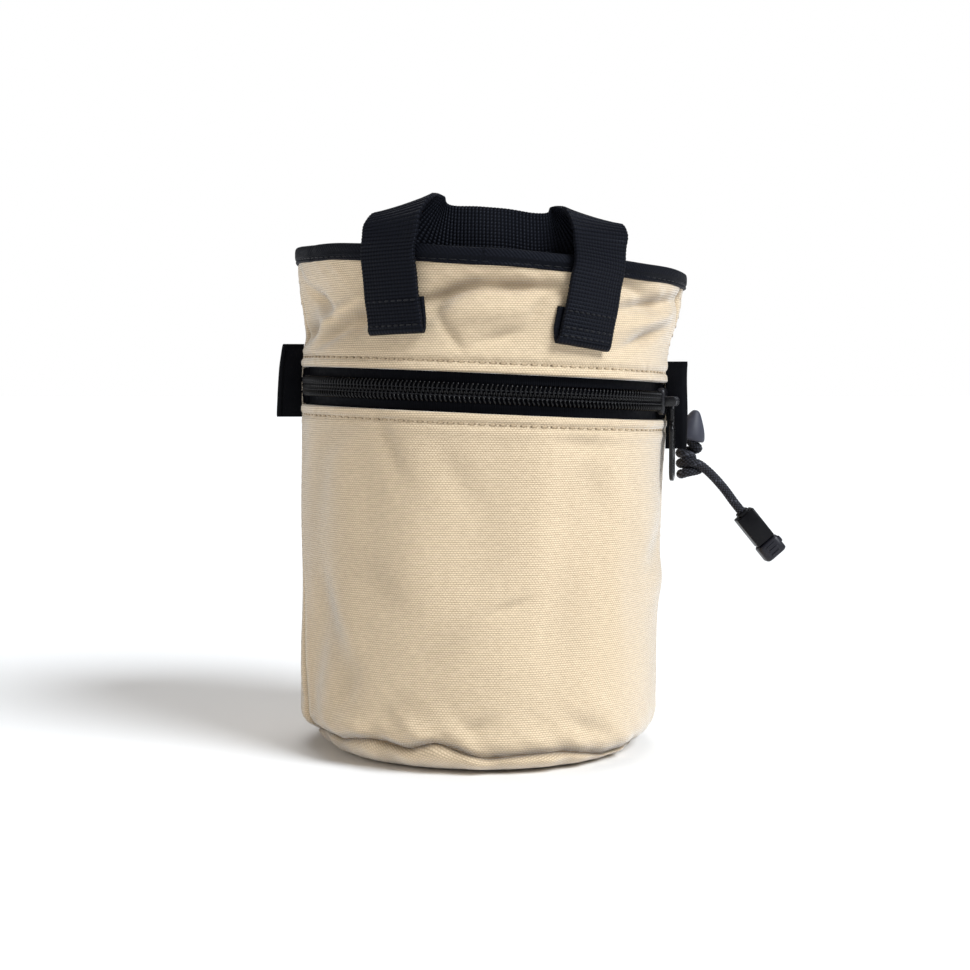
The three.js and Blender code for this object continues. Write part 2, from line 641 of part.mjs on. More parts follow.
function webbingStrap() {
  const steps = 70;
  const through = (field) => {
    const places = strapStations.map((station) => station[field]);
    return new THREE.CatmullRomCurve3(places, false, 'catmullrom', 0.5);
  };
  const middleLine = through('middle');
  const acrossLine = through('across');
  const last = strapStations.length - 1;
  const bendAt = (t) => {
    const i = Math.min(last - 1, Math.floor(t * last));
    return THREE.MathUtils.lerp(strapStations[i].bend, strapStations[i + 1].bend, t * last - i);
  };
  const frames = [];
  for (let k = 0; k <= steps; k++) {
    const t = k / steps;
    const along = middleLine.getTangent(t);
    const across = acrossLine.getPoint(t);
    const out = cross(across, along).normalize();
    frames.push({ middle: middleLine.getPoint(t), across, out, bend: bendAt(t) });
  }
  const face = (side) => (u, v) => {
    const { middle, across, out, bend } = frames[Math.round(u * steps)];
    const w = STRAP_WIDTH * (v - 0.5);
    const sag = (bend * w * w) / (2 * BODY_RADIUS);
    const lift = (side * STRAP_THICKNESS) / 2 - sag;
    return middle.clone().addScaledVector(across, w).addScaledVector(out, lift);
  };
  return between(face(1), face(-1), steps, 2);
}
add('webbing_strap', webbingStrap(), BLACK_CLOTH, 0.7);

// The strap's ends are turned under their feet, and each peeks out at one side.
function turnedEnd(leg) {
  const foot = legFoot(leg);
  const sheet = (offset) => (u, v) => {
    const w = STRAP_WIDTH * (u - 0.5) + leg.turned_side * TURN_SHIFT;
    const deg = leg.foot_deg + w / BODY_RADIUS / RAD;
    const z = foot + w * Math.sin(leg.lean_deg * RAD) + (TURN_LENGTH - 2 * SEAT_GAP) * v + SEAT_GAP;
    return around(deg, plainRadius(deg, z) + offset, z);
  };
  return between(sheet(SEAT_GAP + TURN_THICKNESS), sheet(SEAT_GAP), 6, 2);
}
for (const leg of LEGS) add(`strap_turn_${leg.name}`, turnedEnd(leg), BLACK_CLOTH, 0.7);

// Side tabs: a tape folded in half, both ends in the side seam, the fold outward
function sideTab(seamDeg, middle, height, reach, flare) {
  const outer = TAB_SLIT / 2 + TAB_TAPE;
  const inner = TAB_SLIT / 2;
  const outline = [];
  const arc = 6;
  outline.push({ out: 0, side: -outer }, { out: reach - outer, side: -outer });
  for (let k = 1; k < arc; k++) {
    const a = (k / arc - 0.5) * Math.PI;
    outline.push({ out: reach - outer + outer * Math.cos(a), side: outer * Math.sin(a) });
  }
  outline.push({ out: reach - outer, side: outer }, { out: 0, side: outer }, { out: 0, side: inner });
  outline.push({ out: reach - outer, side: inner });
  outline.push({ out: reach - outer + inner, side: 0 });
  outline.push({ out: reach - outer, side: -inner }, { out: 0, side: -inner });
  const levels = 6;
  const points = [];
  const faces = [];
  for (let j = 0; j <= levels; j++) {
    const v = j / levels - 0.5;
    const z = middle + height * v;
    const root = wallPoint(seamDeg, z, SEAT_GAP + outer ** 2 / (2 * BODY_RADIUS));
    const stretch = 1 - (flare * v) / reach;
    for (const { out, side } of outline) {
      const point = root.clone().addScaledVector(outward(seamDeg), out * stretch);
      points.push(point.addScaledVector(tangent(seamDeg), side));
    }
  }
  const n = outline.length;
  for (let j = 0; j < levels; j++) {
    for (let i = 0; i < n; i++) {
      const k = (i + 1) % n;
      faces.push([j * n + i, j * n + k, (j + 1) * n + k], [j * n + i, (j + 1) * n + k, (j + 1) * n + i]);
    }
  }
  const drawn = outline.map(({ out, side }) => new THREE.Vector2(out, side));
  for (const [a, b, c] of THREE.ShapeUtils.triangulateShape(drawn, [])) {
    faces.push([a, c, b], [levels * n + a, levels * n + b, levels * n + c]);
  }
  return fromFaces(points, faces);
}
const leftMiddle = ZIP_HEIGHT + LEFT_TAB_ABOVE_ZIP;
const rightMiddle = ZIP_HEIGHT - RIGHT_TAB_BELOW_ZIP;
const leftTab = sideTab(SEAM_LEFT_DEG, leftMiddle, LEFT_TAB_HEIGHT, LEFT_TAB_REACH, LEFT_TAB_FLARE);
const rightTab = sideTab(SEAM_RIGHT_DEG, rightMiddle, RIGHT_TAB_HEIGHT, RIGHT_TAB_REACH, RIGHT_TAB_FLARE);
add('side_tab_left', leftTab, BLACK_CLOTH, 0.75);
add('side_tab_right', rightTab, BLACK_CLOTH, 0.75);

// Drawcord. Its exit is on the wall, inside a plain eyelet.
const exitPoint = wallPoint(EXIT_DEG, ZIP_HEIGHT - EXIT_BELOW_ZIP, 0);
const boreRadius = CORD_DIAMETER / 2 + CORD_CLEARANCE;

function eyelet() {
  const ring = new THREE.Shape().absarc(0, 0, EYELET_RADIUS, 0, 2 * Math.PI);
  ring.holes.push(new THREE.Path().absarc(0, 0, boreRadius, 0, 2 * Math.PI, true));
  const seat = exitPoint.clone().addScaledVector(outward(EXIT_DEG), SEAT_GAP);
  const out = outward(EXIT_DEG);
  return seated(plate(ring, EYELET_THICKNESS, 12), seat, tangent(EXIT_DEG), UP, out);
}
add('cord_eyelet', eyelet(), BLACK_METAL, 0.5);

const cordLine = new THREE.CatmullRomCurve3(
  CORD_POINTS.map(([x, y, z]) => exitPoint.clone().add(new THREE.Vector3(x, y, z))),
  false,
  'centripetal',
);
const CORD_STEPS = 72;
const CORD_SIDES = 8;
const cordSection = new THREE.Shape();
for (let i = 0; i < CORD_SIDES; i++) {
  const a = (i * 2 * Math.PI) / CORD_SIDES;
  const x = (CORD_DIAMETER / 2) * Math.cos(a);
  const y = (CORD_DIAMETER / 2) * Math.sin(a);
  if (i === 0) cordSection.moveTo(x, y);
  else cordSection.lineTo(x, y);
}
const cord = new THREE.ExtrudeGeometry(cordSection, {
  steps: CORD_STEPS,
  bevelEnabled: false,
  extrudePath: cordLine,
});
add('drawcord', cord, BLACK_CLOTH, 0.8);

// Lock: a bell with a slanted bore, along the fourth stretch of the cord, which is straight
function cordLock() {
  const corner = ({ radius, height }) => new THREE.Vector2(radius * LOCK_RADIUS, height * LOCK_LENGTH);
  const profile = LOCK_PROFILE.map(corner);
  const bell = new THREE.LatheGeometry(profile, 24).rotateX(Math.PI / 2).scale(1, LOCK_DEPTH_SHARE, 1);
  const back = new THREE.Vector3(0, 1, 0);
  const foot = exitPoint.clone().add(LOCK_FOOT);
  const body = seated(bell, foot, cross(back, LOCK_AXIS), back, LOCK_AXIS);
  const [start, end] = CORD_POINTS.slice(3, 5).map((point) => new THREE.Vector3(...point));
  const along = end.clone().sub(start).normalize();
  const middle = start.clone().lerp(end, 0.5).add(exitPoint);
  const bore = seated(alongBar(boreRadius, 2 * LOCK_LENGTH), middle, back, cross(along, back), along);
  return cut(body, bore);
}
add('cord_lock', cordLock(), 0x4a4b50, 0.55);

// Cord end: a flat sleeve and a wider clip over its lower end, in line with the cord
const endAlong = cordLine.getTangent(1);
const endPoint = cordLine.getPoint(1);
const endDepth = cross(UP, endAlong).normalize();
const endWide = cross(endDepth, endAlong);
function cordEndPart(width, depth, from, length, round) {
  const part = plate(roundedRectangle(width, depth, round), length);
  const origin = endPoint.clone().addScaledVector(endAlong, from);
  return seated(part, origin, endWide, endDepth, cross(endWide, endDepth));
}
const sleeveLength = END_LENGTH - CLIP_LENGTH - SEAT_GAP;
add('cord_end_sleeve', cordEndPart(END_WIDTH, END_DEPTH, SEAT_GAP, sleeveLength, 1), 0x1c1c20, 0.45);
const clipStart = SEAT_GAP + sleeveLength + SEAT_GAP;
const clip = cordEndPart(END_WIDTH + CLIP_EXTRA, END_DEPTH + CLIP_EXTRA, clipStart, CLIP_LENGTH, 2);
add('cord_end_clip', clip, 0x1c1c20, 0.45);

export default group;
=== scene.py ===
# %% [markdown]
# # A climbing chalk bag in cells
#
# A chalk bag is a small round canvas bucket that hangs at a climber's hip. This lesson dresses
# its plain solid model in cloth, zip, webbing and cord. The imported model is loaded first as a
# fixed frame. Every new piece is then worked out in the same place and the same size, so
# nothing has to be fitted by eye afterwards.

# %% Load the frame
import math
import bpy
import numpy as np
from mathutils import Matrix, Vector


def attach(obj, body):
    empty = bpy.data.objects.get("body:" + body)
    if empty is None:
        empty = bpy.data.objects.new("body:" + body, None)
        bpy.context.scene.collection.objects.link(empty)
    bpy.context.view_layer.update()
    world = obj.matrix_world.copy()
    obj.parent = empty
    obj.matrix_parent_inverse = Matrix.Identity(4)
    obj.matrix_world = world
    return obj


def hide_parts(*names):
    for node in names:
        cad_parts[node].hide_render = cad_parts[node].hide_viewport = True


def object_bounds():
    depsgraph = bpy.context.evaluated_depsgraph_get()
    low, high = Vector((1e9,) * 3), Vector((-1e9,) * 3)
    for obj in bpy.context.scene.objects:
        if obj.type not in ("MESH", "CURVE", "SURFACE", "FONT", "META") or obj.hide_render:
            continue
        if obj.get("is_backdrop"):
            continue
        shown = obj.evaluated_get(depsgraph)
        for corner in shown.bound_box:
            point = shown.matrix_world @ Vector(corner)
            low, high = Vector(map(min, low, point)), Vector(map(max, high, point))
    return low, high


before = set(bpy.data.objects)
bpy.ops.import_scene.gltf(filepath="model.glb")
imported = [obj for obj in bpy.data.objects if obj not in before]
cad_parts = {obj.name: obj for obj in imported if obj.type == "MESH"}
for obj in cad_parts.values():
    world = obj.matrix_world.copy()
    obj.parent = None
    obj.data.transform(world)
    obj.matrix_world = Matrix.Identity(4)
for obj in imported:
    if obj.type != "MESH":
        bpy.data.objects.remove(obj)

frame_box = [[float(x) for x in corner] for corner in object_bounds()]
print("nodes:", len(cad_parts))

# %% [markdown]
# ## Camera
#
# The picture was taken almost level, from a little over half a metre, with a portrait lens: the
# rim shows as a thin ellipse and the base line bends only slightly. A long lens from far away
# would flatten the rim to a line, and a wide one would bulge the middle of the bag. The camera
# is made first, because it decides how much detail each piece needs.

# %% Set the camera
camera_place = (0.0, -0.565, 0.115)
camera_pitch = 3.1
camera_data = bpy.data.cameras.new("portrait_camera")
camera_data.sensor_width = 36.0
camera_data.lens = 36.0 * 1714.0 / 970.0
camera_data.clip_start = 0.01
camera = bpy.data.objects.new("portrait_camera", camera_data)
camera.location = camera_place
camera.rotation_euler = (math.radians(90.0 - camera_pitch), 0.0, 0.0)
bpy.context.scene.collection.objects.link(camera)
bpy.context.scene.camera = camera
print("lens", round(camera_data.lens, 1), "mm")

# %% [markdown]
# ## Lengths and surfaces
#
# All shapes below are computed in millimetres, which are easier to read for a thing of this
# size, and are turned into metres when a mesh is made. A surface is an array of points with
# rows and columns. Joining each point to its neighbours gives the faces. A grid that runs round
# a tube has its last column joined to its first.

# %% Turn a grid of points into a mesh
MM = 0.001


def grid_faces(rows, columns, close_rows=False, close_columns=False, first=0):
    """Four-sided faces between neighbouring points of a grid, counted row by row."""
    j = np.arange(rows if close_rows else rows - 1)[:, None]
    i = np.arange(columns if close_columns else columns - 1)[None, :]
    k, m = (j + 1) % rows, (i + 1) % columns
    faces = np.stack([j * columns + i, j * columns + m, k * columns + m, k * columns + i], -1)
    return faces.reshape(-1, 4) + first


def signed_volume(points, faces):
    """Six times the volume inside: each face adds the box product of its fan of triangles."""
    total = 0.0
    for table in faces:
        a = points[table[:, 0]]
        for n in range(1, table.shape[1] - 1):
            total += np.einsum("ij,ij->", a, np.cross(points[table[:, n]], points[table[:, n + 1]]))
    return total


def piece(name, points, faces, finish, body="bag", uv=None, stands_for=(), marks=None):
    """Makes a mesh object from points in mm and arrays of faces, turned so that they face
    outward, gives it its finish and lets it ride on its body. marks are values per point."""
    points = np.asarray(points, float).reshape(-1, 3)
    if signed_volume(points, faces) < 0:
        faces = [table[:, ::-1] for table in faces]
    corners = np.concatenate([table.ravel() for table in faces])
    sides = np.concatenate([np.full(len(table), table.shape[1]) for table in faces])
    starts = np.concatenate([[0], np.cumsum(sides)[:-1]])
    mesh = bpy.data.meshes.new(name)
    mesh.vertices.add(len(points))
    mesh.vertices.foreach_set("co", (points * MM).astype(np.float32).ravel())
    mesh.loops.add(len(corners))
    mesh.loops.foreach_set("vertex_index", corners.astype(np.int32))
    mesh.polygons.add(len(sides))
    mesh.polygons.foreach_set("loop_start", starts.astype(np.int32))
    if uv is not None:
        layer = mesh.uv_layers.new(name="cloth")
        uv = np.asarray(uv, float).reshape(-1, 2)
        layer.data.foreach_set("uv", (uv[corners] * MM).astype(np.float32).ravel())
    for key, values in (marks or {}).items():
        attribute = mesh.attributes.new(key, "FLOAT", "POINT")
        attribute.data.foreach_set("value", np.asarray(values, np.float32).ravel())
    mesh.update(calc_edges=True)
    mesh.shade_smooth()
    made = bpy.data.objects.new(name, mesh)
    bpy.context.scene.collection.objects.link(made)
    mesh.materials.append(finish)
    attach(made, body)
    if stands_for:
        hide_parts(*stands_for)
    low, high = points.min(0).round(1), points.max(0).round(1)
    print(f"{name}: {len(sides)} faces, {(high - low).round(1)} mm")
    return made


print("one millimetre is", MM, "m")

# %% [markdown]
# A table of a few rows describes a smooth change, such as the radius of the bag at
# each height. Between two rows a cubic curve is used whose slopes come from the rows before
# and after, so that the curve passes through every row without a corner. The same idea in three
# dimensions gives the way of a strap or a cord through a list of places.

# %% Smooth curves through tables and places
def cubic(t, a, b, slope_a, slope_b):
    """Hermite's cubic: it starts at a and ends at b, with the slopes given at both ends."""
    t2, t3 = t * t, t * t * t
    ends = (2 * t3 - 3 * t2 + 1) * a + (3 * t2 - 2 * t3) * b
    return ends + (t3 - 2 * t2 + t) * slope_a + (t3 - t2) * slope_b


def read(keys, values, at):
    """Value of a table at each place, on the smooth curve through its rows."""
    keys, values = np.asarray(keys, float), np.asarray(values, float)
    i = np.clip(np.searchsorted(keys, at, side="right") - 1, 0, len(keys) - 2)
    before, after = np.maximum(i - 1, 0), np.minimum(i + 2, len(keys) - 1)
    step = keys[i + 1] - keys[i]
    slope_a = step * (values[i + 1] - values[before]) / (keys[i + 1] - keys[before])
    slope_b = step * (values[after] - values[i]) / (keys[after] - keys[i])
    t = np.clip((at - keys[i]) / step, 0, 1)
    return cubic(t, values[i], values[i + 1], slope_a, slope_b)


def way_through(places, count, even):
    """Points along a smooth line through places. Each end slope is half the way between the
    neighbours (even), or is weighed by the root of the distances, which keeps tight turns round."""
    p = np.asarray(places, float)
    p = np.vstack([2 * p[0] - p[1], p, 2 * p[-1] - p[-2]])
    t = np.linspace(0, len(places) - 1, count)
    i = np.minimum(t.astype(int), len(places) - 2)
    a, b, c, d = p[i], p[i + 1], p[i + 2], p[i + 3]
    if even:
        slope_b, slope_c = (c - a) / 2, (d - b) / 2
    else:
        ab, bc, cd = (np.linalg.norm(s, axis=1, keepdims=True) ** 0.5 for s in (b - a, c - b, d - c))
        slope_b = bc * ((b - a) / ab - (c - a) / (ab + bc) + (c - b) / bc)
        slope_c = bc * ((c - b) / bc - (d - b) / (bc + cd) + (d - c) / cd)
    return cubic((t - i)[:, None], b, c, slope_b, slope_c)


def unit(v):
    """The same direction with length one."""
    return v / np.linalg.norm(v, axis=-1, keepdims=True)


def lengths_along(points):
    """Distance from the start of a line to each of its points."""
    steps = np.linalg.norm(np.diff(points, axis=0), axis=1)
    return np.concatenate([[0.0], np.cumsum(steps)])


def evenly(points, count):
    """The same line with its points at even distances."""
    run = lengths_along(points)
    at = np.linspace(0, run[-1], count)
    return np.stack([np.interp(at, run, points[:, n]) for n in range(3)], 1)


print("halfway between rows 1 and 3:", read([0, 1, 2], [1.0, 1.0, 3.0], np.array([1.5])))

# %% [markdown]
# ## The round wall
#
# The bag is a tube of canvas, a little wider at the mouth, that sags and dents. A wall place is
# given by its angle from the middle of the front, its height and how far it stands off the
# outer face. The body's plain radius comes from a table with a share for each of its four
# sides. Soft hollows are added as rounded dips. This is the same rule that the solid model was
# made with, so both have one shape.

# %% Sizes of the body in mm
BODY_RADIUS = 59.0
BODY_HEIGHT = 154.6
RIM_TILT = 4.0
WALL = 1.8
SEAT_GAP = 0.3
SEAM_LEFT, SEAM_RIGHT = -82.0, 84.0
SEAM_SWING = 11.0
BASE_ROLL = 13.0
BINDING_HEIGHT = 5.2
BINDING_LIP = 0.9
ZIP_HEIGHT = 114.6
ZIP_TILT = 2.6
WINDOW_HEIGHT = 12.0

# Radius of the body at each height, as shares of its radius, on its four sides
SECTIONS = np.array([
    # height, left, right, front, back
    (0.0, 0.968, 0.918, 0.965, 0.965),
    (0.035, 1.0, 0.934, 0.985, 0.985),
    (0.1, 1.027, 0.946, 1.0, 0.99),
    (0.3, 1.02, 0.961, 1.0, 0.98),
    (0.52, 1.014, 0.985, 1.0, 0.98),
    (0.69, 1.012, 1.0, 1.007, 0.99),
    (0.79, 1.01, 0.996, 1.01, 1.0),
    (0.84, 0.998, 1.014, 1.015, 1.01),
    (0.875, 0.99, 1.046, 1.025, 1.02),
    (0.94, 1.012, 1.09, 1.045, 1.04),
    (1.0, 1.03, 1.1, 1.056, 1.05),
    (1.06, 1.03, 1.1, 1.056, 1.05),
])


# Broad hollows of the soft wall
HOLLOWS = np.array([
    # angle, height share, half angle, half height share, lean, depth in mm
    (-67, 0.925, 11, 0.035, 0.45, 2.4),
    (-44, 0.885, 9, 0.04, -0.2, 1.4),
    (2, 0.945, 22, 0.022, -0.1, 1.4),
    (-13, 0.915, 7, 0.03, 0.4, 1.2),
    (58, 0.915, 13, 0.025, -0.3, 1.6),
    (64, 0.855, 14, 0.022, -0.3, 1.4),
    (-64, 0.23, 9, 0.16, 0.6, 2.6),
    (24, 0.4, 16, 0.2, 0.2, 1.0),
    (150, 0.5, 24, 0.2, 0.3, 1.6),
    (-140, 0.3, 20, 0.16, -0.3, 1.8),
])


# %% Places on the wall
def wrapped(deg):
    """Angle folded into -180 to 180 degrees."""
    return (np.asarray(deg, float) + 180.0) % 360.0 - 180.0


def plain_radius(deg, z):
    """Radius without hollows: sine squared of the side share and cosine squared of the front
    or back share, times the body's radius."""
    s, c = np.sin(np.radians(deg)), np.cos(np.radians(deg))
    height, left, right, front, back = SECTIONS.T
    at = z / BODY_HEIGHT
    side = np.where(s < 0, read(height, left, at), read(height, right, at))
    face = np.where(c > 0, read(height, front, at), read(height, back, at))
    return BODY_RADIUS * (s * s * side + c * c * face)


def dips(deg, z, table):
    """Sum of rounded dips: each falls off as a bell curve along its own leaning axis."""
    depth = np.zeros(np.broadcast(deg, z).shape)
    for angle, height, half_angle, half_height, lean, deep in table:
        along = wrapped(deg - angle) / half_angle
        up = (z / BODY_HEIGHT - height) / half_height - lean * along
        depth = depth + deep * np.exp(-along * along - up * up)
    return depth


def around(deg, radius, z):
    """Point at an angle from the front, a radius and a height."""
    a = np.radians(deg)
    deg, radius, z = np.broadcast_arrays(a, radius, z)
    return np.stack([radius * np.sin(deg), -radius * np.cos(deg), z], -1)


def wall_point(deg, z, offset):
    """Point of the wall, offset outward from its outer face."""
    return around(deg, plain_radius(deg, z) - dips(deg, z, HOLLOWS) + offset, z)


def rim_height(deg):
    """The rim stands lower on the right."""
    return BODY_HEIGHT - RIM_TILT * np.sin(np.radians(deg))


def zip_height(deg):
    """The zip runs down a little to the right."""
    return ZIP_HEIGHT - ZIP_TILT * np.sin(np.radians(deg))


def outward(deg):
    return around(deg, 1.0, 0.0)


def tangent(deg):
    a = np.radians(np.asarray(deg, float))
    return np.stack([np.cos(a), np.sin(a), np.zeros_like(a)], -1)


print("radius at mid height, front:", plain_radius(0.0, 77.0).round(1), "mm")

# %% [markdown]
# A tube, a strap and a rounded bar are all one thing: a closed outline carried along a line.
# At each place of the line two directions lie across it, and the outline is drawn with them.
# For a cord the directions must not twist, so each is the last one with its part along the
# line taken out. The two ends are closed with one flat face each.

# %% Carry an outline along a line
def steady_frames(line, first):
    """Two directions across each place of a line, passed on from place to place untwisted."""
    along = unit(np.gradient(line, axis=0))
    side = np.empty_like(line)
    last = np.asarray(first, float)
    for k, ahead in enumerate(along):
        last = last - ahead * (last @ ahead)
        last = last / np.linalg.norm(last)
        side[k] = last
    return side, np.cross(along, side)


def swept(line, side, up, a, b):
    """Place + a times side + b times up, for each place (rows) and outline point (columns)."""
    a, b = np.broadcast_to(a, (len(line), np.shape(a)[-1])), np.broadcast_to(b, (len(line), np.shape(b)[-1]))
    return line[:, None] + a[..., None] * side[:, None] + b[..., None] * up[:, None]


def closed_faces(rows, columns, first=0):
    """Faces of a tube with its two end caps."""
    start = np.arange(columns)[None, ::-1] + first
    end = np.arange(columns)[None, :] + (rows - 1) * columns + first
    return [grid_faces(rows, columns, close_columns=True, first=first), np.vstack([start, end])]


def rounded_rectangle(width, height, radius, per_corner=5):
    """Outline with quarter circles at its corners, as columns a (across) and b (up)."""
    angle = np.linspace(0, math.pi / 2, per_corner)
    corners = [(1, 1, 0), (-1, 1, 1), (-1, -1, 2), (1, -1, 3)]
    a = np.concatenate([x * (width / 2 - radius) + radius * np.cos(angle + q * math.pi / 2)
                        for x, y, q in corners])
    b = np.concatenate([y * (height / 2 - radius) + radius * np.sin(angle + q * math.pi / 2)
                        for x, y, q in corners])
    return a, b


def bar_points(width, height, length, corner, edge, steps=4):
    """A straight bar along its third axis with rounded corners. Near each end the outline
    shrinks as a quarter circle does, which rounds the end's edge too."""
    t = np.linspace(0, math.pi / 2, steps)
    inset = np.concatenate([edge * (1 - np.sin(t)), edge * (1 - np.cos(t))])
    along = np.concatenate([edge * (1 - np.cos(t)), length - edge * (1 - np.sin(t))])
    a, b = rounded_rectangle(width, height, corner)
    a = a[None] * (1 - 2 * inset[:, None] / width)
    b = b[None] * (1 - 2 * inset[:, None] / height)
    points = np.stack([a, b, np.broadcast_to(along[:, None], a.shape)], -1)
    return points.reshape(-1, 3), closed_faces(len(along), a.shape[1])


def placed(points, origin, x, y, z):
    """Moves points so that their three axes lie along three given directions."""
    return np.asarray(origin) + points @ np.array([x, y, z], float)


def together(*bodies):
    """Several closed bodies as one: points in a row, faces counted on."""
    points, faces, first = [], [], 0
    for body_points, body_faces in bodies:
        points.append(body_points.reshape(-1, 3))
        faces += [table + first for table in body_faces]
        first += len(points[-1])
    return np.vstack(points), faces


def repeated(template, faces, x, y, z, origins):
    """Many copies of one small shape, each turned and moved to its own place."""
    points = origins[:, None] + (template[None, :, 0, None] * x[:, None]
                                 + template[None, :, 1, None] * y[:, None]
                                 + template[None, :, 2, None] * z[:, None])
    shift = np.arange(len(origins))[:, None, None] * len(template)
    return points.reshape(-1, 3), [(table[None] + shift).reshape(-1, table.shape[1]) for table in faces]


print("bar test:", bar_points(4, 3, 10, 1, 0.4)[0].shape[0], "points")

# %% [markdown]
# ## Finishes
#
# Each finish is one Principled shader with a small net of nodes in front of it. Cloth patterns
# are worked out from the piece's own map, which holds millimetres along and across the cloth,
# so threads keep their real size and follow every bend. A picture of cloth wrapped round the
# bag would stretch, and would show its repeats.

# %% Small helpers for node nets
def new_finish(name, colour, roughness, **even):
    """A material whose even values are set on the shader's own sockets."""
    finish = bpy.data.materials.new(name)
    finish.use_nodes = True
    shader = finish.node_tree.nodes["Principled BSDF"]
    shader.inputs["Base Color"].default_value = (*colour, 1.0)
    shader.inputs["Roughness"].default_value = roughness
    for socket, value in even.items():
        shader.inputs[socket.replace("_", " ")].default_value = value
    finish.diffuse_color = (*colour, 1.0)
    return finish, finish.node_tree, shader


def node(tree, kind, inputs=None, **settings):
    """Adds a node, sets its options, and sets or joins its inputs."""
    made = tree.nodes.new(kind)
    for key, value in settings.items():
        setattr(made, key, value)
    for socket, value in (inputs or {}).items():
        if isinstance(value, bpy.types.NodeSocket):
            tree.links.new(value, made.inputs[socket])
        else:
            made.inputs[socket].default_value = value
    return made


def calc(tree, operation, *values):
    """One sum of a node net."""
    return node(tree, "ShaderNodeMath", dict(enumerate(values)), operation=operation).outputs[0]


def shades(tree, share, dark, light):
    """A colour between two, by a share from 0 to 1."""
    mixed = node(tree, "ShaderNodeMix", {0: share, 6: (*dark, 1.0), 7: (*light, 1.0)}, data_type="RGBA")
    return mixed.outputs[2]


def tinted(tree, colour, share, other):
    """Moves a colour towards another one by a share."""
    mixed = node(tree, "ShaderNodeMix", {0: share, 6: colour, 7: (*other, 1.0)}, data_type="RGBA")
    return mixed.outputs[2]


def ranged(tree, value, low, high, to_low, to_high):
    """Stretches a value from one range to another and holds it there."""
    inputs = {0: value, 1: low, 2: high, 3: to_low, 4: to_high}
    return node(tree, "ShaderNodeMapRange", inputs, clamp=True).outputs[0]


def cloth_places(tree):
    """Millimetres along and across the cloth."""
    uv = node(tree, "ShaderNodeUVMap", uv_map="cloth").outputs[0]
    parts = node(tree, "ShaderNodeSeparateXYZ", {0: uv})
    return [calc(tree, "MULTIPLY", parts.outputs[n], 1000.0) for n in (0, 1)]


def ridge(tree, value, pitch, shift=0.0):
    """Round ridges, one per pitch: the absolute sine."""
    turned = calc(tree, "MULTIPLY_ADD", value, math.pi / pitch, shift)
    return calc(tree, "ABSOLUTE", calc(tree, "SINE", turned))


def cloud(tree, x, y, x_size, y_size, detail=2.0):
    """Soft noise with its own size along and across, in mm."""
    scaled = [calc(tree, "DIVIDE", x, x_size), calc(tree, "DIVIDE", y, y_size)]
    place = node(tree, "ShaderNodeCombineXYZ", {0: scaled[0], 1: scaled[1]}).outputs[0]
    return node(tree, "ShaderNodeTexNoise", {"Vector": place, "Scale": 1.0, "Detail": detail}).outputs[0]


def body_cloud(tree, size, detail=3.0):
    """Soft noise on the object's own place, its size in mm."""
    place = node(tree, "ShaderNodeTexCoord").outputs["Object"]
    inputs = {"Vector": place, "Scale": 1000.0 / size, "Detail": detail}
    return node(tree, "ShaderNodeTexNoise", inputs).outputs[0]


def relief(tree, shader, height, depth_mm):
    """Raises the surface's look by a height from 0 to 1 times a depth."""
    bump = node(tree, "ShaderNodeBump", {"Height": height, "Distance": depth_mm * MM, "Strength": 1.0})
    tree.links.new(bump.outputs[0], shader.inputs["Normal"])


def joined_to(tree, shader, socket, value):
    tree.links.new(value, shader.inputs[socket])


print("helpers ready")

# %% [markdown]
# Canvas for bags is a heavy plain weave. Its crosswise threads are thicker than its lengthwise
# ones, so it shows fine level ribs, each broken into short pale grains that stand half a step
# aside from one rib to the next, like bricks. Threads are spun unevenly, so some grains are
# fatter or paler. Loose fibres whiten the cloth where it is seen at a slant, which is sheen.
# Each piece carries a mark of how deep and how far turned down its cloth is, and how near a seam,
# and the finish darkens there: this is painted shade in the folds and at the seams.

# %% The finish of the canvas
def canvas_finish(name, light, dark, rib=0.66, grain=0.95, depth=0.16):
    finish, tree, shader = new_finish(name, light, 0.88)
    shader.inputs["Sheen Weight"].default_value = 1.0
    shader.inputs["Sheen Roughness"].default_value = 0.38
    along, across = cloth_places(tree)
    drift = calc(tree, "MULTIPLY", cloud(tree, along, across, 16.0, 7.0, 1.0), 0.45)
    wavy = calc(tree, "ADD", across, drift)
    crown = ridge(tree, wavy, rib)
    row = calc(tree, "FLOOR", calc(tree, "DIVIDE", wavy, rib))
    shifted = calc(tree, "MULTIPLY_ADD", row, grain / 2, along)
    knuckle = ridge(tree, shifted, grain)
    weave = calc(tree, "MULTIPLY", calc(tree, "POWER", crown, 0.7),
                 calc(tree, "MULTIPLY_ADD", knuckle, 0.6, 0.4))
    slub = cloud(tree, along, across, 2.6, 0.9, 1.0)
    height = calc(tree, "MULTIPLY_ADD", slub, 0.2, weave)
    relief(tree, shader, height, depth)
    patches = body_cloud(tree, 38.0)
    tone = calc(tree, "MULTIPLY_ADD", weave, 0.75, calc(tree, "MULTIPLY", slub, 0.38))
    tone = calc(tree, "MULTIPLY_ADD", patches, 0.25, tone)
    colour = shades(tree, ranged(tree, tone, 0.25, 1.1, 0.0, 1.0), dark, light)
    # The fold mark tints the colour towards a deep brown: painted shade.
    fold = node(tree, "ShaderNodeAttribute", attribute_name="fold").outputs["Fac"]
    shade_share, painted_shade = 0.75, tuple(0.42 * c for c in dark)
    joined_to(tree, shader, "Base Color",
              tinted(tree, colour, calc(tree, "MULTIPLY", fold, shade_share), painted_shade))
    rough = ranged(tree, slub, 0.3, 0.7, 0.82, 0.94)
    joined_to(tree, shader, "Roughness", rough)
    return finish


CANVAS_LIGHT = (0.84, 0.68, 0.475)
CANVAS_DARK = (0.44, 0.32, 0.195)
canvas = canvas_finish("beige_canvas", CANVAS_LIGHT, CANVAS_DARK)
print("canvas finish:", len(canvas.node_tree.nodes), "nodes")


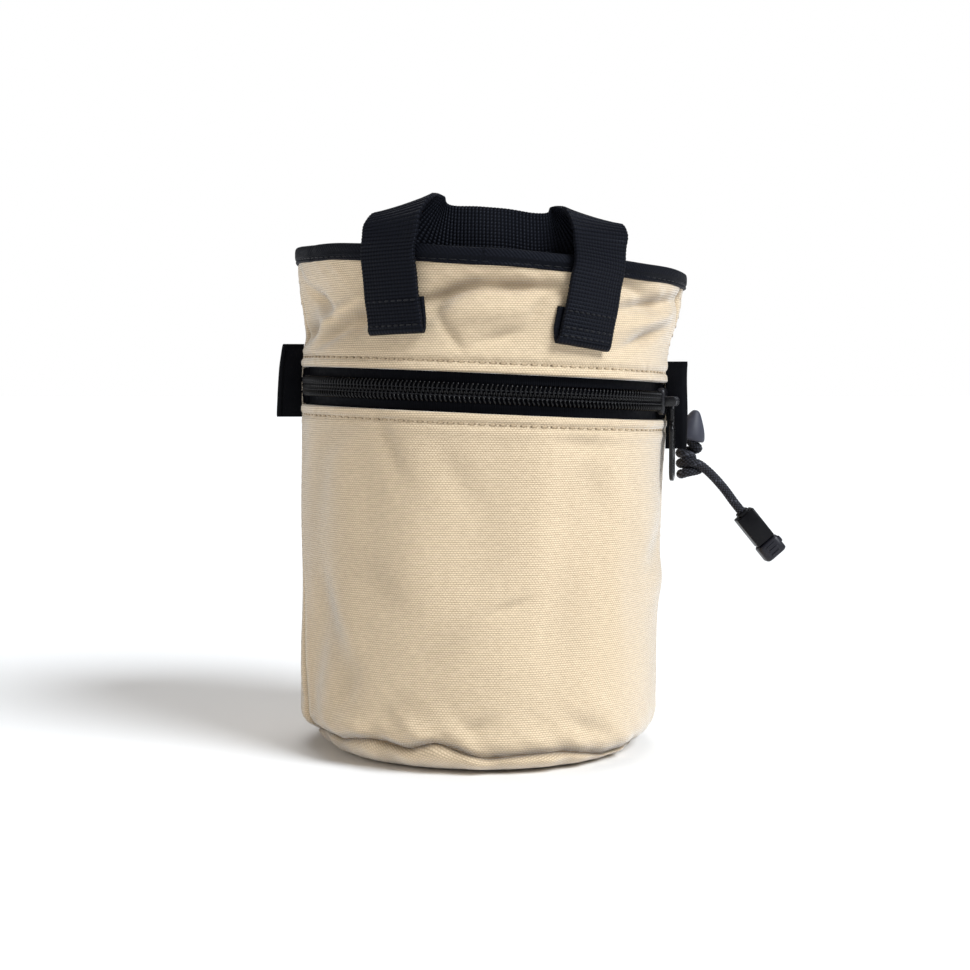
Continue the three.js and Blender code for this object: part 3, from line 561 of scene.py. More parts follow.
# %% [markdown]
# The black cloths are of four kinds: twill on the rim with slanting lines, ribbed webbing,
# smooth tape on the side tabs and the thin knitted tape of the zip. Black cloth is never quite
# black: its crowns catch a cool grey light and its hollows swallow it. One function makes all
# four from a ridge pattern.

# %% The finishes of the black cloths
BLACK_DEEP = (0.0007, 0.0007, 0.001)
BLACK_CROWN = (0.006, 0.0066, 0.0105)


def black_cloth(name, pattern, depth, crown=BLACK_CROWN, roughness=0.6, sheen=0.015, gloss=0.10):
    """Black threads: the pattern's crowns are paler and higher than its hollows."""
    finish, tree, shader = new_finish(name, crown, roughness)
    shader.inputs["Sheen Weight"].default_value = sheen
    shader.inputs["Sheen Roughness"].default_value = 0.35
    shader.inputs["Sheen Tint"].default_value = (0.75, 0.8, 1.0, 1.0)
    shader.inputs["Specular IOR Level"].default_value = gloss
    shader.inputs["Specular Tint"].default_value = (0.72, 0.8, 1.0, 1.0)
    along, across = cloth_places(tree)
    height = pattern(tree, along, across)
    fuzz = cloud(tree, along, across, 1.6, 1.6)
    relief(tree, shader, calc(tree, "MULTIPLY_ADD", fuzz, 0.2, height), depth)
    tone = calc(tree, "MULTIPLY_ADD", fuzz, 0.35, calc(tree, "MULTIPLY", height, 0.8))
    joined_to(tree, shader, "Base Color",
              shades(tree, ranged(tree, tone, 0.1, 1.05, 0.0, 1.0), BLACK_DEEP, crown))
    joined_to(tree, shader, "Roughness", ranged(tree, fuzz, 0.3, 0.7, roughness - 0.08, roughness + 0.1))
    return finish


def twill(tree, along, across):
    """Slanting ridges 0.9 mm apart, each cut into short floats."""
    slanted = calc(tree, "MULTIPLY_ADD", across, 0.9, along)
    float_cut = ridge(tree, calc(tree, "MULTIPLY_ADD", across, -2.2, along), 2.6)
    return calc(tree, "MULTIPLY", ridge(tree, slanted, 1.15), calc(tree, "MULTIPLY_ADD", float_cut, 0.3, 0.7))


def webbing_weave(tree, along, across):
    """Level ribs across the strap 1.1 mm apart, crossed by lengthwise rows: a fine grid."""
    thread = calc(tree, "POWER", ridge(tree, across, 1.0), 0.8)
    rib = calc(tree, "POWER", ridge(tree, along, 1.1), 0.7)
    return calc(tree, "MULTIPLY", rib, calc(tree, "MULTIPLY_ADD", thread, 0.65, 0.35))


def tape_weave(tree, along, across):
    """Fine threads 0.6 mm apart in a low herringbone."""
    side = calc(tree, "PINGPONG", across, 3.0)
    return ridge(tree, calc(tree, "MULTIPLY_ADD", side, 0.8, along), 0.6)


def knit(tree, along, across):
    """The upright wales of a knitted tape, 0.7 mm apart, with their loops."""
    loops = ridge(tree, across, 0.5)
    return calc(tree, "MULTIPLY", ridge(tree, along, 0.7), calc(tree, "MULTIPLY_ADD", loops, 0.3, 0.7))


rim_twill = black_cloth("rim_twill", twill, 0.12)
webbing = black_cloth("ribbed_webbing", webbing_weave, 0.22, roughness=0.45, gloss=0.10)
tab_tape = black_cloth("tab_tape", tape_weave, 0.05, crown=(0.005, 0.005, 0.006), gloss=0.05)
zip_knit = black_cloth("zip_knit", knit, 0.05, crown=(0.0035, 0.0035, 0.005), gloss=0.06)
print("black cloths:", rim_twill.name, webbing.name, tab_tape.name, zip_knit.name)

# %% [markdown]
# The hard parts need little colour and much care with gloss. Moulded plastic has a fine grain
# that breaks its highlights. Enamelled zip metal is glossy, and rubs to grey on its edges.
# Sewing thread is twisted, so it gets slanting lines on its own map.

# %% The finishes of the hard parts and the threads
def moulded(name, colour, roughness, grain_mm, depth, specular=0.5):
    """Plastic: grain on the object's own place, and faint flow marks in its gloss."""
    finish, tree, shader = new_finish(name, colour, roughness)
    shader.inputs["Specular IOR Level"].default_value = specular
    grain = body_cloud(tree, grain_mm, 2.0)
    flow = body_cloud(tree, 5.0)
    relief(tree, shader, grain, depth)
    dark = tuple(0.72 * c for c in colour)
    joined_to(tree, shader, "Base Color", shades(tree, ranged(tree, flow, 0.3, 0.7, 0.0, 1.0), dark, colour))
    joined_to(tree, shader, "Roughness", ranged(tree, flow, 0.3, 0.7, roughness - 0.06, roughness + 0.08))
    return finish


def enamelled(name, colour, worn, roughness):
    """Black enamel on metal: worn to a paler metal where edges stand out."""
    finish, tree, shader = new_finish(name, colour, roughness)
    shader.inputs["Specular IOR Level"].default_value = 0.3
    shader.inputs["Coat Weight"].default_value = 0.2
    shader.inputs["Coat Roughness"].default_value = 0.18
    pointed = node(tree, "ShaderNodeNewGeometry").outputs["Pointiness"]
    rub = calc(tree, "MULTIPLY", ranged(tree, pointed, 0.53, 0.62, 0.0, 1.0), body_cloud(tree, 1.5))
    dark = tuple(0.6 * c for c in colour)
    joined_to(tree, shader, "Base Color",
              tinted(tree, shades(tree, body_cloud(tree, 3.0), dark, colour), rub, worn))
    joined_to(tree, shader, "Roughness",
              ranged(tree, body_cloud(tree, 0.8), 0.3, 0.7, roughness - 0.05, roughness + 0.1))
    relief(tree, shader, body_cloud(tree, 0.5), 0.01)
    return finish


def thread_finish(name, light, dark, roughness=0.6):
    """Twisted thread: slanting lines, and painted shade at its ends, where it dips into the cloth."""
    finish, tree, shader = new_finish(name, light, roughness)
    shader.inputs["Sheen Weight"].default_value = 0.05
    shader.inputs["Specular IOR Level"].default_value = 0.2
    along, around_it = cloth_places(tree)
    ply = ridge(tree, calc(tree, "MULTIPLY_ADD", around_it, 0.8, along), 0.45)
    relief(tree, shader, ply, 0.05)
    # The dip mark tints the ends dark: painted shade.
    dip = node(tree, "ShaderNodeAttribute", attribute_name="dip").outputs["Fac"]
    colour = shades(tree, calc(tree, "MULTIPLY_ADD", ply, 0.6, 0.3), dark, light)
    joined_to(tree, shader, "Base Color", tinted(tree, colour, dip, tuple(0.35 * c for c in dark)))
    return finish


lock_plastic = moulded("grey_lock_plastic", (0.047, 0.049, 0.068), 0.5, 0.35, 0.015, 0.3)
end_plastic = moulded("black_end_plastic", (0.003, 0.003, 0.0045), 0.36, 0.45, 0.02, 0.16)
eyelet_plastic = moulded("eyelet_plastic", (0.006, 0.006, 0.007), 0.4, 0.5, 0.02, 0.3)
coil_nylon = moulded("coil_nylon", (0.001, 0.001, 0.0018), 0.14, 0.6, 0.002, 0.22)
puller_enamel = enamelled("puller_enamel", (0.003, 0.003, 0.004), (0.05, 0.05, 0.06), 0.25)
slider_enamel = enamelled("slider_enamel", (0.007, 0.007, 0.009), (0.10, 0.10, 0.12), 0.25)
clip_plastic = moulded("grey_clip_plastic", (0.010, 0.010, 0.017), 0.4, 0.45, 0.02, 0.35)
beige_thread = thread_finish("beige_thread", (0.62, 0.49, 0.33), (0.22, 0.14, 0.075))
black_thread = thread_finish("black_thread", (0.010, 0.0105, 0.015), (0.003, 0.003, 0.004), 0.4)
print("hard finishes and threads ready")

# %% [markdown]
# ## The drawcord
#
# A thin braided cord leaves the wall through an eyelet on the right, runs through a spring
# lock, makes a stopper knot below it and hangs out to a small plastic end. Its way is a list of
# places beside the exit. The knot is the same cord wound round itself. A flexible thing keeps
# its length, so the length is measured along the way and printed.

# %% The cord's way
CORD_DIAMETER = 3.0
EXIT_DEG = 97.0
EXIT_BELOW_ZIP = 8.6
exit_point = wall_point(EXIT_DEG, ZIP_HEIGHT - EXIT_BELOW_ZIP, 0.0)

# Places in mm from the exit: out of the eyelet, down through the lock, the knot, the free run
CORD_PLACES = np.array([
    (0.5, 0.06, 0), (2.0, 0.1, 0.1), (3.6, 0.0, -0.8), (4.9, -0.1, -2.1),
    (9.3, -0.1, -6.5), (10.8, -0.1, -8.1), (12.6, 0.6, -9.6), (11.9, 2.4, -10.2),
    (9.8, 3.1, -10.6), (7.4, 2.0, -11.0), (6.6, -0.4, -11.3), (7.8, -2.6, -11.6),
    (10.0, -2.4, -12.3), (10.4, -0.6, -13.6), (9.8, -0.1, -15.2), (9.2, -0.1, -16.9),
    (7.7, -0.5, -18.1), (6.7, -1.5, -18.2), (7.8, -3.0, -17.8), (10.0, -3.3, -17.3),
    (12.2, -2.2, -16.9), (12.9, 0.1, -16.4), (12.0, 2.3, -15.9), (9.8, 3.1, -15.4),
    (7.5, 2.1, -15.0), (6.7, -0.3, -14.6), (7.7, -2.7, -14.3), (10.0, -3.9, -14.2),
    (12.6, -4.0, -15.0), (15.0, -3.6, -16.8), (18.0, -2.6, -19.6), (21.4, -1.4, -23.4),
    (24.6, -0.5, -27.6), (27.7, 0.0, -31.4),
])
cord_way = evenly(way_through(exit_point + CORD_PLACES, 2400, even=False), 560)
cord_length = lengths_along(cord_way)[-1]
print("exit", exit_point.round(2), "length", cord_length.round(1), "mm")

# %% [markdown]
# The braid is sixteen threads, eight turning each way. On the unrolled tube each thread is a
# slanting band, so a place lies in one band of either set. The two sets cross over and under in
# a checkerboard, and the upper thread's round back gives the height. Two threads of one set are
# paler and show as flecks. Geometry carries the braid, because it also shows in the outline.

# %% The braided cord
BRAID_THREADS = 8
BRAID_TURN = 9.0
BRAID_RELIEF = 0.34
cord_columns = 56
turn_share = np.arange(cord_columns) / cord_columns
cord_run = np.linspace(0, cord_length, len(cord_way))
one_set = BRAID_THREADS * (turn_share[None] + cord_run[:, None] / BRAID_TURN)
other_set = BRAID_THREADS * (turn_share[None] - cord_run[:, None] / BRAID_TURN)
one_above = (np.floor(one_set) + np.floor(other_set)) % 2 == 0
across_thread = np.where(one_above, one_set % 1, other_set % 1)
along_thread = np.where(one_above, other_set % 1, one_set % 1)
braid = np.sin(math.pi * across_thread) ** 0.7 * (0.7 + 0.3 * np.sin(math.pi * along_thread))
paler = one_above & (np.floor(one_set) % BRAID_THREADS == 3)
cord_radius = CORD_DIAMETER / 2 + BRAID_RELIEF * (braid - 0.75)
cord_side, cord_up = steady_frames(cord_way, (0.0, 1.0, 0.0))
angle = 2 * math.pi * turn_share[None]
cord_points = swept(cord_way, cord_side, cord_up, cord_radius * np.cos(angle), cord_radius * np.sin(angle))


def cord_finish():
    finish, tree, shader = new_finish("braided_cord", (0.02, 0.02, 0.025), 0.5)
    shader.inputs["Sheen Weight"].default_value = 0.04
    shader.inputs["Specular IOR Level"].default_value = 0.2
    tracer = node(tree, "ShaderNodeAttribute", attribute_name="tracer").outputs["Fac"]
    raised = node(tree, "ShaderNodeAttribute", attribute_name="braid").outputs["Fac"]
    along, around_it = cloth_places(tree)
    strand = ridge(tree, calc(tree, "MULTIPLY_ADD", around_it, 0.9, along), 0.28)
    # Paler, cooler colour on the raised crowns of the braid: a painted highlight.
    crown = calc(tree, "POWER", raised, 4.0)
    black = shades(tree, crown, (0.0008, 0.0008, 0.0012), (0.05, 0.053, 0.075))
    joined_to(tree, shader, "Base Color",
              tinted(tree, black, calc(tree, "MULTIPLY", tracer, 0.5), (0.09, 0.095, 0.12)))
    relief(tree, shader, strand, 0.03)
    return finish


cord_uv = np.stack(np.broadcast_arrays(cord_run[:, None], turn_share[None] * 3 * math.pi), -1)
drawcord = piece("braided_drawcord", cord_points, closed_faces(len(cord_way), cord_columns), cord_finish(),
                 uv=cord_uv, stands_for=["drawcord"], marks={"braid": braid, "tracer": paler})

# %% [markdown]
# The lock is a small bell of grey plastic with a slanted bore. Its outline is turned round its
# axis and squeezed front to back, so it is a lathe shape that isn't round. Three soft flats run
# down it, where fingers pinch it. The mouths of the bore are covered by the cord itself.

# %% The cord lock
LOCK_LENGTH, LOCK_RADIUS, LOCK_DEPTH = 10.2, 5.0, 0.82
LOCK_FOOT = np.array([9.6, -0.1, -6.9])
lock_axis = unit(np.array([0.23, 0.0, 1.0]))
lock_back = np.array([0.0, 1.0, 0.0])
LOCK_OUTLINE = np.array([
    # radius share, height share
    (0.001, 0.0), (0.6, 0.0), (0.84, 0.0), (0.95, 0.025), (1.0, 0.08), (0.98, 0.2), (0.86, 0.4),
    (0.66, 0.62), (0.44, 0.82), (0.3, 0.925), (0.16, 0.985), (0.001, 1.0),
])
steps = np.linspace(0, len(LOCK_OUTLINE) - 1, 90)
lock_r = read(np.arange(len(LOCK_OUTLINE)), LOCK_OUTLINE[:, 0], steps)[:, None]
lock_z = read(np.arange(len(LOCK_OUTLINE)), LOCK_OUTLINE[:, 1], steps)[:, None]
turn = np.linspace(0, 2 * math.pi, 72, endpoint=False)[None]
pinch = 1 - 0.06 * np.sin(math.pi * np.clip(lock_z, 0, 1)) * (0.5 - 0.5 * np.cos(3 * (turn - 0.4)))
lock_local = np.stack(np.broadcast_arrays(LOCK_RADIUS * lock_r * pinch * np.cos(turn),
                                          LOCK_RADIUS * LOCK_DEPTH * lock_r * pinch * np.sin(turn),
                                          LOCK_LENGTH * lock_z), -1)
lock_points = placed(lock_local.reshape(-1, 3), exit_point + LOCK_FOOT, np.cross(lock_back, lock_axis),
                     lock_back, lock_axis)
lock = piece("cord_lock_bell", lock_points, closed_faces(90, 72), lock_plastic,
             stands_for=["cord_lock"])

# %% [markdown]
# The cord's end is a flat sleeve with a wider clip snapped over its lower end. Both are bars
# with rounded edges, in line with the cord's last stretch. The clip has a small round boss on
# its upper side and two ribs, and a shadow gap parts the two pieces.

# %% The cord end
END_LENGTH, END_WIDTH, END_DEPTH = 18.0, 7.0, 5.0
CLIP_LENGTH, CLIP_EXTRA = 6.0, 1.2
end_along = unit(cord_way[-1] - cord_way[-4])
end_point = cord_way[-1]
end_depth = unit(np.cross((0.0, 0.0, 1.0), end_along))
end_wide = np.cross(end_depth, end_along)
end_up = np.cross(end_wide, end_depth)
sleeve_length = END_LENGTH - CLIP_LENGTH - SEAT_GAP


def end_bar(width, depth, start, length, corner, edge, shift=(0.0, 0.0)):
    """A rounded bar in line with the cord, at a distance past its end."""
    points, faces = bar_points(width, depth, length, corner, edge)
    origin = end_point + end_along * start + end_wide * shift[0] + end_depth * shift[1]
    return placed(points, origin, end_wide, end_depth, end_up), faces


sleeve_lip = end_bar(END_WIDTH * 0.62, END_DEPTH * 0.8, -0.9, 1.6, 1.2, 0.4)
sleeve_body = end_bar(END_WIDTH, END_DEPTH, SEAT_GAP, sleeve_length, 0.7, 0.35)
points, faces = together(sleeve_body, sleeve_lip)
sleeve = piece("cord_end_sleeve_body", points, faces, end_plastic,
               stands_for=["cord_end_sleeve"])

clip_start = 2 * SEAT_GAP + sleeve_length
clip_body = end_bar(END_WIDTH + CLIP_EXTRA, END_DEPTH + CLIP_EXTRA, clip_start, CLIP_LENGTH, 1.7, 0.9)
rib = (END_WIDTH + CLIP_EXTRA) * 0.5
clip_ribs = [end_bar(END_WIDTH * 0.5, 0.7, clip_start + 1.2 + 1.5 * k, 0.6, 0.3, 0.2,
                     (0.0, -(END_DEPTH + CLIP_EXTRA) / 2))
             for k in range(3)]
boss_points, boss_faces = bar_points(2.4, 2.4, 1.1, 1.15, 0.4)
boss = (placed(boss_points, end_point + end_along * (clip_start + 2.6) + end_wide * -(rib - 0.4), end_up,
               end_depth, -end_wide), boss_faces)
points, faces = together(clip_body, boss, *clip_ribs)
clip = piece("cord_end_clip_body", points, faces, clip_plastic,
             stands_for=["cord_end_clip"])

# %% [markdown]
# ## The canvas
#
# The wall is four pieces of canvas: an upper and a lower front panel with the zip between them,
# a back panel and a round base. Their outer side is the wall rule plus finer relief. A closed
# piece of cloth needs an outer sheet, an inner sheet and the edge between them. All three come
# from one grid that runs up the outside, over the folded edge and down the inside.

# %% Finer creases of the cloth, in mm
CREASES = np.array([
    # angle, height share, half angle, half height share, lean, depth in mm (below 0 stands out)
    (-60, 0.922, 9, 0.017, -1.5, 3.0),
    (-50, 0.899, 13, 0.017, 1.6, -2.2),
    (-72, 0.868, 10, 0.018, 0.5, 3.2),
    (-52, 0.860, 10, 0.014, 1.5, 2.0),
    (-39, 0.884, 4.5, 0.022, 0.3, 2.6),
    (-11, 0.930, 9, 0.013, 1.4, 3.2),
    (9, 0.944, 14, 0.012, -0.2, 2.9),
    (-1, 0.897, 12, 0.020, 0.3, -1.9),
    (-14, 0.899, 4, 0.018, 0.8, 1.9),
    (-10, 0.858, 3.5, 0.020, -1.5, 1.5),
    (5, 0.850, 7, 0.013, 0.8, 1.4),
    (15, 0.905, 3, 0.022, 0.9, 1.4),
    (56, 0.9185, 17, 0.013, 1.2, 2.7),
    (58, 0.887, 15, 0.013, 1.5, -1.6),
    (57, 0.852, 12, 0.012, 1.6, 2.4),
    (44, 0.950, 8, 0.012, -1.0, 1.9),
    (76, 0.93, 6, 0.03, 0.0, 1.6),
    (-43, 0.26, 7, 0.050, -0.96, -0.7),
    (-54, 0.26, 9, 0.070, -0.9, 1.6),
    (-46, 0.15, 7, 0.040, 0.9, 1.2),
    (-30, 0.10, 7, 0.03, 0.9, 1.2),
    (-21, 0.085, 6, 0.02, -1.2, -1.2),
    (-3, 0.09, 6, 0.02, 0.8, 1.0),
    (34, 0.08, 7, 0.02, -0.8, 1.1),
    (3, 0.50, 9, 0.20, 0.4, 0.9),
    (17, 0.52, 6, 0.20, 0.4, -0.9),
    (-8, 0.58, 7, 0.05, -0.8, 0.9),
    (-33, 0.36, 12, 0.05, -0.9, 0.9),
    (-12, 0.24, 9, 0.05, 0.9, 0.8),
    (36, 0.55, 8, 0.06, -0.7, 0.9),
    (-62, 0.55, 9, 0.12, 0.6, 1.3),
    (-20, 0.47, 9, 0.20, 0.3, -0.7),
    (-36, 0.52, 8, 0.14, -0.5, 0.9),
    (-29, 0.640, 5, 0.045, -1.2, 1.3),
    (-50, 0.655, 9, 0.025, 0.8, 1.0),
    (30, 0.645, 12, 0.02, -0.4, 0.8),
    (8, 0.33, 6, 0.010, 1.2, 0.8),
    (26, 0.28, 8, 0.16, 0.4, 0.8),
    (44, 0.40, 6, 0.18, -0.3, -0.7),
    (72, 0.42, 9, 0.045, 0.3, 1.3),
    (78, 0.35, 10, 0.04, 0.0, -0.9),
    (110, 0.88, 20, 0.02, 0.3, 1.8),
    (140, 0.82, 18, 0.022, -0.4, 1.5),
    (170, 0.93, 24, 0.016, 0.2, 1.8),
    (-150, 0.87, 22, 0.018, -0.3, 1.7),
    (-112, 0.9, 16, 0.02, 0.4, 1.8),
    (130, 0.25, 9, 0.16, 0.6, 1.6),
    (165, 0.55, 8, 0.2, 0.5, -1.0),
    (-160, 0.5, 10, 0.2, -0.4, 1.4),
    (180, 0.12, 14, 0.05, 0.3, 1.4),
    (-110, 0.35, 7, 0.2, 0.5, 1.5),
    (105, 0.5, 6, 0.14, -0.6, 1.1),
])
rng = np.random.default_rng(7)
WAVES = np.stack([rng.integers(2, 9, 14), rng.uniform(0.03, 0.16, 14), rng.uniform(0, 6.28, 14),
                  rng.uniform(0.04, 0.11, 14)], 1)


def swells(deg, z):
    """Slow unevenness of the cloth: a few sine waves, whole numbers of them round the body."""
    total = np.zeros(np.broadcast(deg, z).shape)
    for count, per_mm, phase, height in WAVES:
        total = total + height * np.sin(np.radians(deg) * count + z * per_mm + phase)
    return total


def bump_at(distance, width):
    """One rounded bump: 1 at distance 0, falling off as a bell curve."""
    return np.exp(-(distance / width) ** 2)


def edge_fall(distance, radius):
    """How far a rounded edge falls back: a quarter circle in the last stretch before the end."""
    t = np.clip(1 - distance / radius, 0, 1)
    return radius * (1 - np.sqrt(1 - t * t))


def puckers(deg, z, seam_z, reach, height, waves=(23, 31, 47)):
    """Small ripples that start at a seam and die out away from it."""
    fade = np.exp(-np.abs(z - seam_z) / reach)
    a = np.radians(deg)
    ripple = sum(np.sin(a * n + 1.7 * n % 5 + (z - seam_z) * 0.02 * n) for n in waves) / len(waves)
    return height * fade * ripple


print(len(CREASES), "creases,", len(WAVES), "swells")

# %% [markdown]
# The side seams are not straight: they swing forward with the sag of the bag. Each drawn angle
# is therefore moved by an amount that depends on height. Where two panels meet, both dip
# toward the lining, which makes the seam's shadow line. Each zip edge is a fold sewn down with
# one row of stitches, so the cloth is thicker up to the row, has a furrow at it, and swells
# again beyond it.

# %% Sheets of canvas
TOPSTITCH_INSET = 3.1
BASE_TUCK = 1.7
CURL_HEIGHT, CURL_IN_FRONT, CURL_MORE_AT_SIDES = 13.0, 1.8, 4.2
SEAM_PUCKERS, HEM_PUCKERS = (11, 19, 31), (53, 71, 97)
HEM_RISE, FURROW_DEPTH, SWELL_BEYOND = 0.4, 0.6, 0.35

# Height of the base seam in mm, with its short waves
SEAM_LINE = np.array([
    (-180, 5.0), (-130, 4.5), (-90, 4.5), (-70, 6.8), (-58, 7.5), (-52, 6.9), (-45, 8.3),
    (-37, 9.2), (-30, 8.2), (-23, 7.6), (-19, 8.8), (-15, 9.8), (-9, 8.0), (0, 5.4), (9, 5.8),
    (18, 6.3), (27, 5.8), (35, 4.5), (42, 3.2), (50, 3.2), (57, 3.6), (70, 2.5), (84, 2.6),
    (100, 3.2), (140, 4.5), (180, 5.0),
])


def sewn_seam(deg):
    """Height of the base seam as the cloth has settled."""
    return read(SEAM_LINE[:, 0], SEAM_LINE[:, 1], wrapped(deg))


def rounded_under(deg, z):
    """How far the wall's foot curls in: a power of the height below CURL_HEIGHT, more at the
    sides than in front."""
    side = np.sin(np.radians(deg)) ** 2
    return (CURL_IN_FRONT + CURL_MORE_AT_SIDES * side) * np.clip(1 - z / CURL_HEIGHT, 0, 1) ** 1.6


def swung(deg, z):
    """The side seams swing toward the front: the right one near the rim, the left one near the
    base, each by the square of the height's share."""
    to_rim = np.maximum(0, (z - ZIP_HEIGHT) / (BODY_HEIGHT - ZIP_HEIGHT)) ** 2
    to_base = np.maximum(0, (ZIP_HEIGHT - z) / ZIP_HEIGHT) ** 2
    near_right = np.exp(-((deg - SEAM_RIGHT) / 30) ** 2)
    near_left = np.exp(-(wrapped(deg - SEAM_LEFT) / 30) ** 2)
    return deg + SEAM_SWING * (near_left * to_base - near_right * to_rim)


def wall_relief(deg, z, side_gap, window=True):
    """Outer relief in mm: creases, swells, hems, seam dips and puckers."""
    lift = -dips(deg, z, CREASES) + swells(deg, z)
    seam = sewn_seam(deg)
    lift = lift + puckers(deg, z, seam, 7.0, 1.0, SEAM_PUCKERS)
    lift = lift + puckers(deg, z, rim_height(deg) - 4, 6.0, 0.35)
    lift = lift - BASE_TUCK * bump_at(z - seam, 1.4) + 0.9 * bump_at(z - seam - 4.2, 3.0)
    lift = lift - rounded_under(deg, z)
    lift = lift - 0.9 * bump_at(side_gap, 1.1) + 0.35 * bump_at(side_gap - 3.5, 2.2)
    if window:
        from_window = np.abs(z - zip_height(deg)) - WINDOW_HEIGHT / 2
        hem = HEM_RISE / (1 + np.exp((from_window - TOPSTITCH_INSET) / 0.35))
        furrow = FURROW_DEPTH * bump_at(from_window - TOPSTITCH_INSET, 0.75)
        beyond = SWELL_BEYOND * bump_at(from_window - TOPSTITCH_INSET - 2.2, 1.6)
        ripple = puckers(deg, from_window, TOPSTITCH_INSET, 2.5, 0.16, HEM_PUCKERS)
        lift = lift + hem - furrow + beyond + ripple
        lift = lift - edge_fall(from_window, 0.7)
    return lift * (1 - np.exp(-np.maximum(rim_height(deg) - BINDING_HEIGHT / 2 + 0.4 - z, 0) / 1.2))


def painted_fold_shade(deg, z, lift, side_gap, window):
    """Share of painted shade from 0 to 1: how deep a place lies in a fold, how far it is turned down
    (the rise of the relief with height), and how near it is to a seam."""
    turned_down = np.gradient(lift, axis=0) / np.gradient(z, axis=0)
    deep = dips(deg, z, CREASES) / 3.0
    share = 0.35 * deep + 0.62 * turned_down + 0.4 * bump_at(z - sewn_seam(deg), 0.8)
    share = share + 0.7 * bump_at(side_gap, 0.8)
    if window:
        share = share + 0.25 * bump_at(np.abs(z - zip_height(deg)) - WINDOW_HEIGHT / 2 - TOPSTITCH_INSET, 0.5)
    return np.clip(share, 0, 1)


def spaced(total, step, fine=0.35, zone=2.5):
    """Distances from 0 to total: close together near both ends, and a step apart between."""
    ends = np.arange(0, zone, fine)
    middle = np.linspace(zone, total - zone, max(2, int((total - 2 * zone) / step)))
    return np.concatenate([ends, middle, total - ends[::-1]])


def two_sided(outer, inner):
    """A closed body from an outer and an inner sheet: the grid runs up the outside and down the
    inside, and a strip of faces closes each end."""
    grid = np.concatenate([outer, inner[::-1]], 0)
    rows, columns = grid.shape[:2]
    j = np.arange(len(outer) - 1)
    left = np.stack([rows - 1 - j, rows - 2 - j, j + 1, j], 1) * columns
    right = left[:, ::-1] + columns - 1
    return grid, [grid_faces(rows, columns, close_rows=True), left, right]


def both_sides(places):
    """The same cloth places for the outer and the inner sheet."""
    return np.concatenate([places, places[::-1]], 0)


def canvas_panel(name, from_deg, to_deg, low, high, height_now, step, window, stands_for):
    """A closed panel between two angles and two height lines."""
    half_gap = math.degrees(0.25 / BODY_RADIUS)
    width = math.radians(to_deg - from_deg) * BODY_RADIUS
    u = spaced(width, step) / width
    v = spaced(height_now, step * 0.9) / height_now
    drawn = (from_deg + half_gap) + (to_deg - from_deg - 2 * half_gap) * u[None, :]
    deg = drawn + 0 * v[:, None]
    z = deg
    for _ in range(4):
        z = low(deg) + (high(deg) - low(deg)) * v[:, None]
        deg = swung(drawn, z)
    side_gap = np.minimum(u, 1 - u)[None, :] * width + 0 * z
    lift = wall_relief(deg, z, side_gap, window)
    outer = wall_point(deg, z, lift)
    inner = wall_point(deg, z, np.minimum(-WALL, lift - 0.8))
    grid, faces = two_sided(outer, inner)
    # The fold mark is painted shade on the outer sheet; the inner sheet gets none.
    fold = painted_fold_shade(deg, z, lift, side_gap, window)
    along = np.radians(drawn) * BODY_RADIUS + 0 * z
    return piece(name, grid, faces, canvas, uv=both_sides(np.stack([along, z], -1)),
                 stands_for=stands_for, marks={"fold": np.concatenate([fold, 0 * fold])})


def window_top(deg):
    return zip_height(deg) + WINDOW_HEIGHT / 2


def window_foot(deg):
    return zip_height(deg) - WINDOW_HEIGHT / 2


def wall_top(deg):
    """The canvas runs up inside the binding that is folded over it."""
    return rim_height(deg) - 1.0


def wall_foot(deg):
    return sewn_seam(deg) + SEAT_GAP / 2


canvas_panel("canvas_upper_front", SEAM_LEFT, SEAM_RIGHT, window_top, wall_top, 34.0, 0.75, True,
             ["front_upper_panel"])
canvas_panel("canvas_lower_front", SEAM_LEFT, SEAM_RIGHT, wall_foot, window_foot, 103.0, 1.0, True,
             ["front_lower_panel"])
back = canvas_panel("canvas_back", SEAM_RIGHT, SEAM_LEFT + 360, wall_foot, wall_top, 147.0, 1.3, False,
                    ["back_panel"])

# %% [markdown]
# The base is a flat round with its rim rolled up to the seam. Soft canvas gathers there, so the
# roll swells out between small tucks. The middle stays flat on the ground. The shape runs from
# the middle outward, up the roll, over the edge and back along the inside.

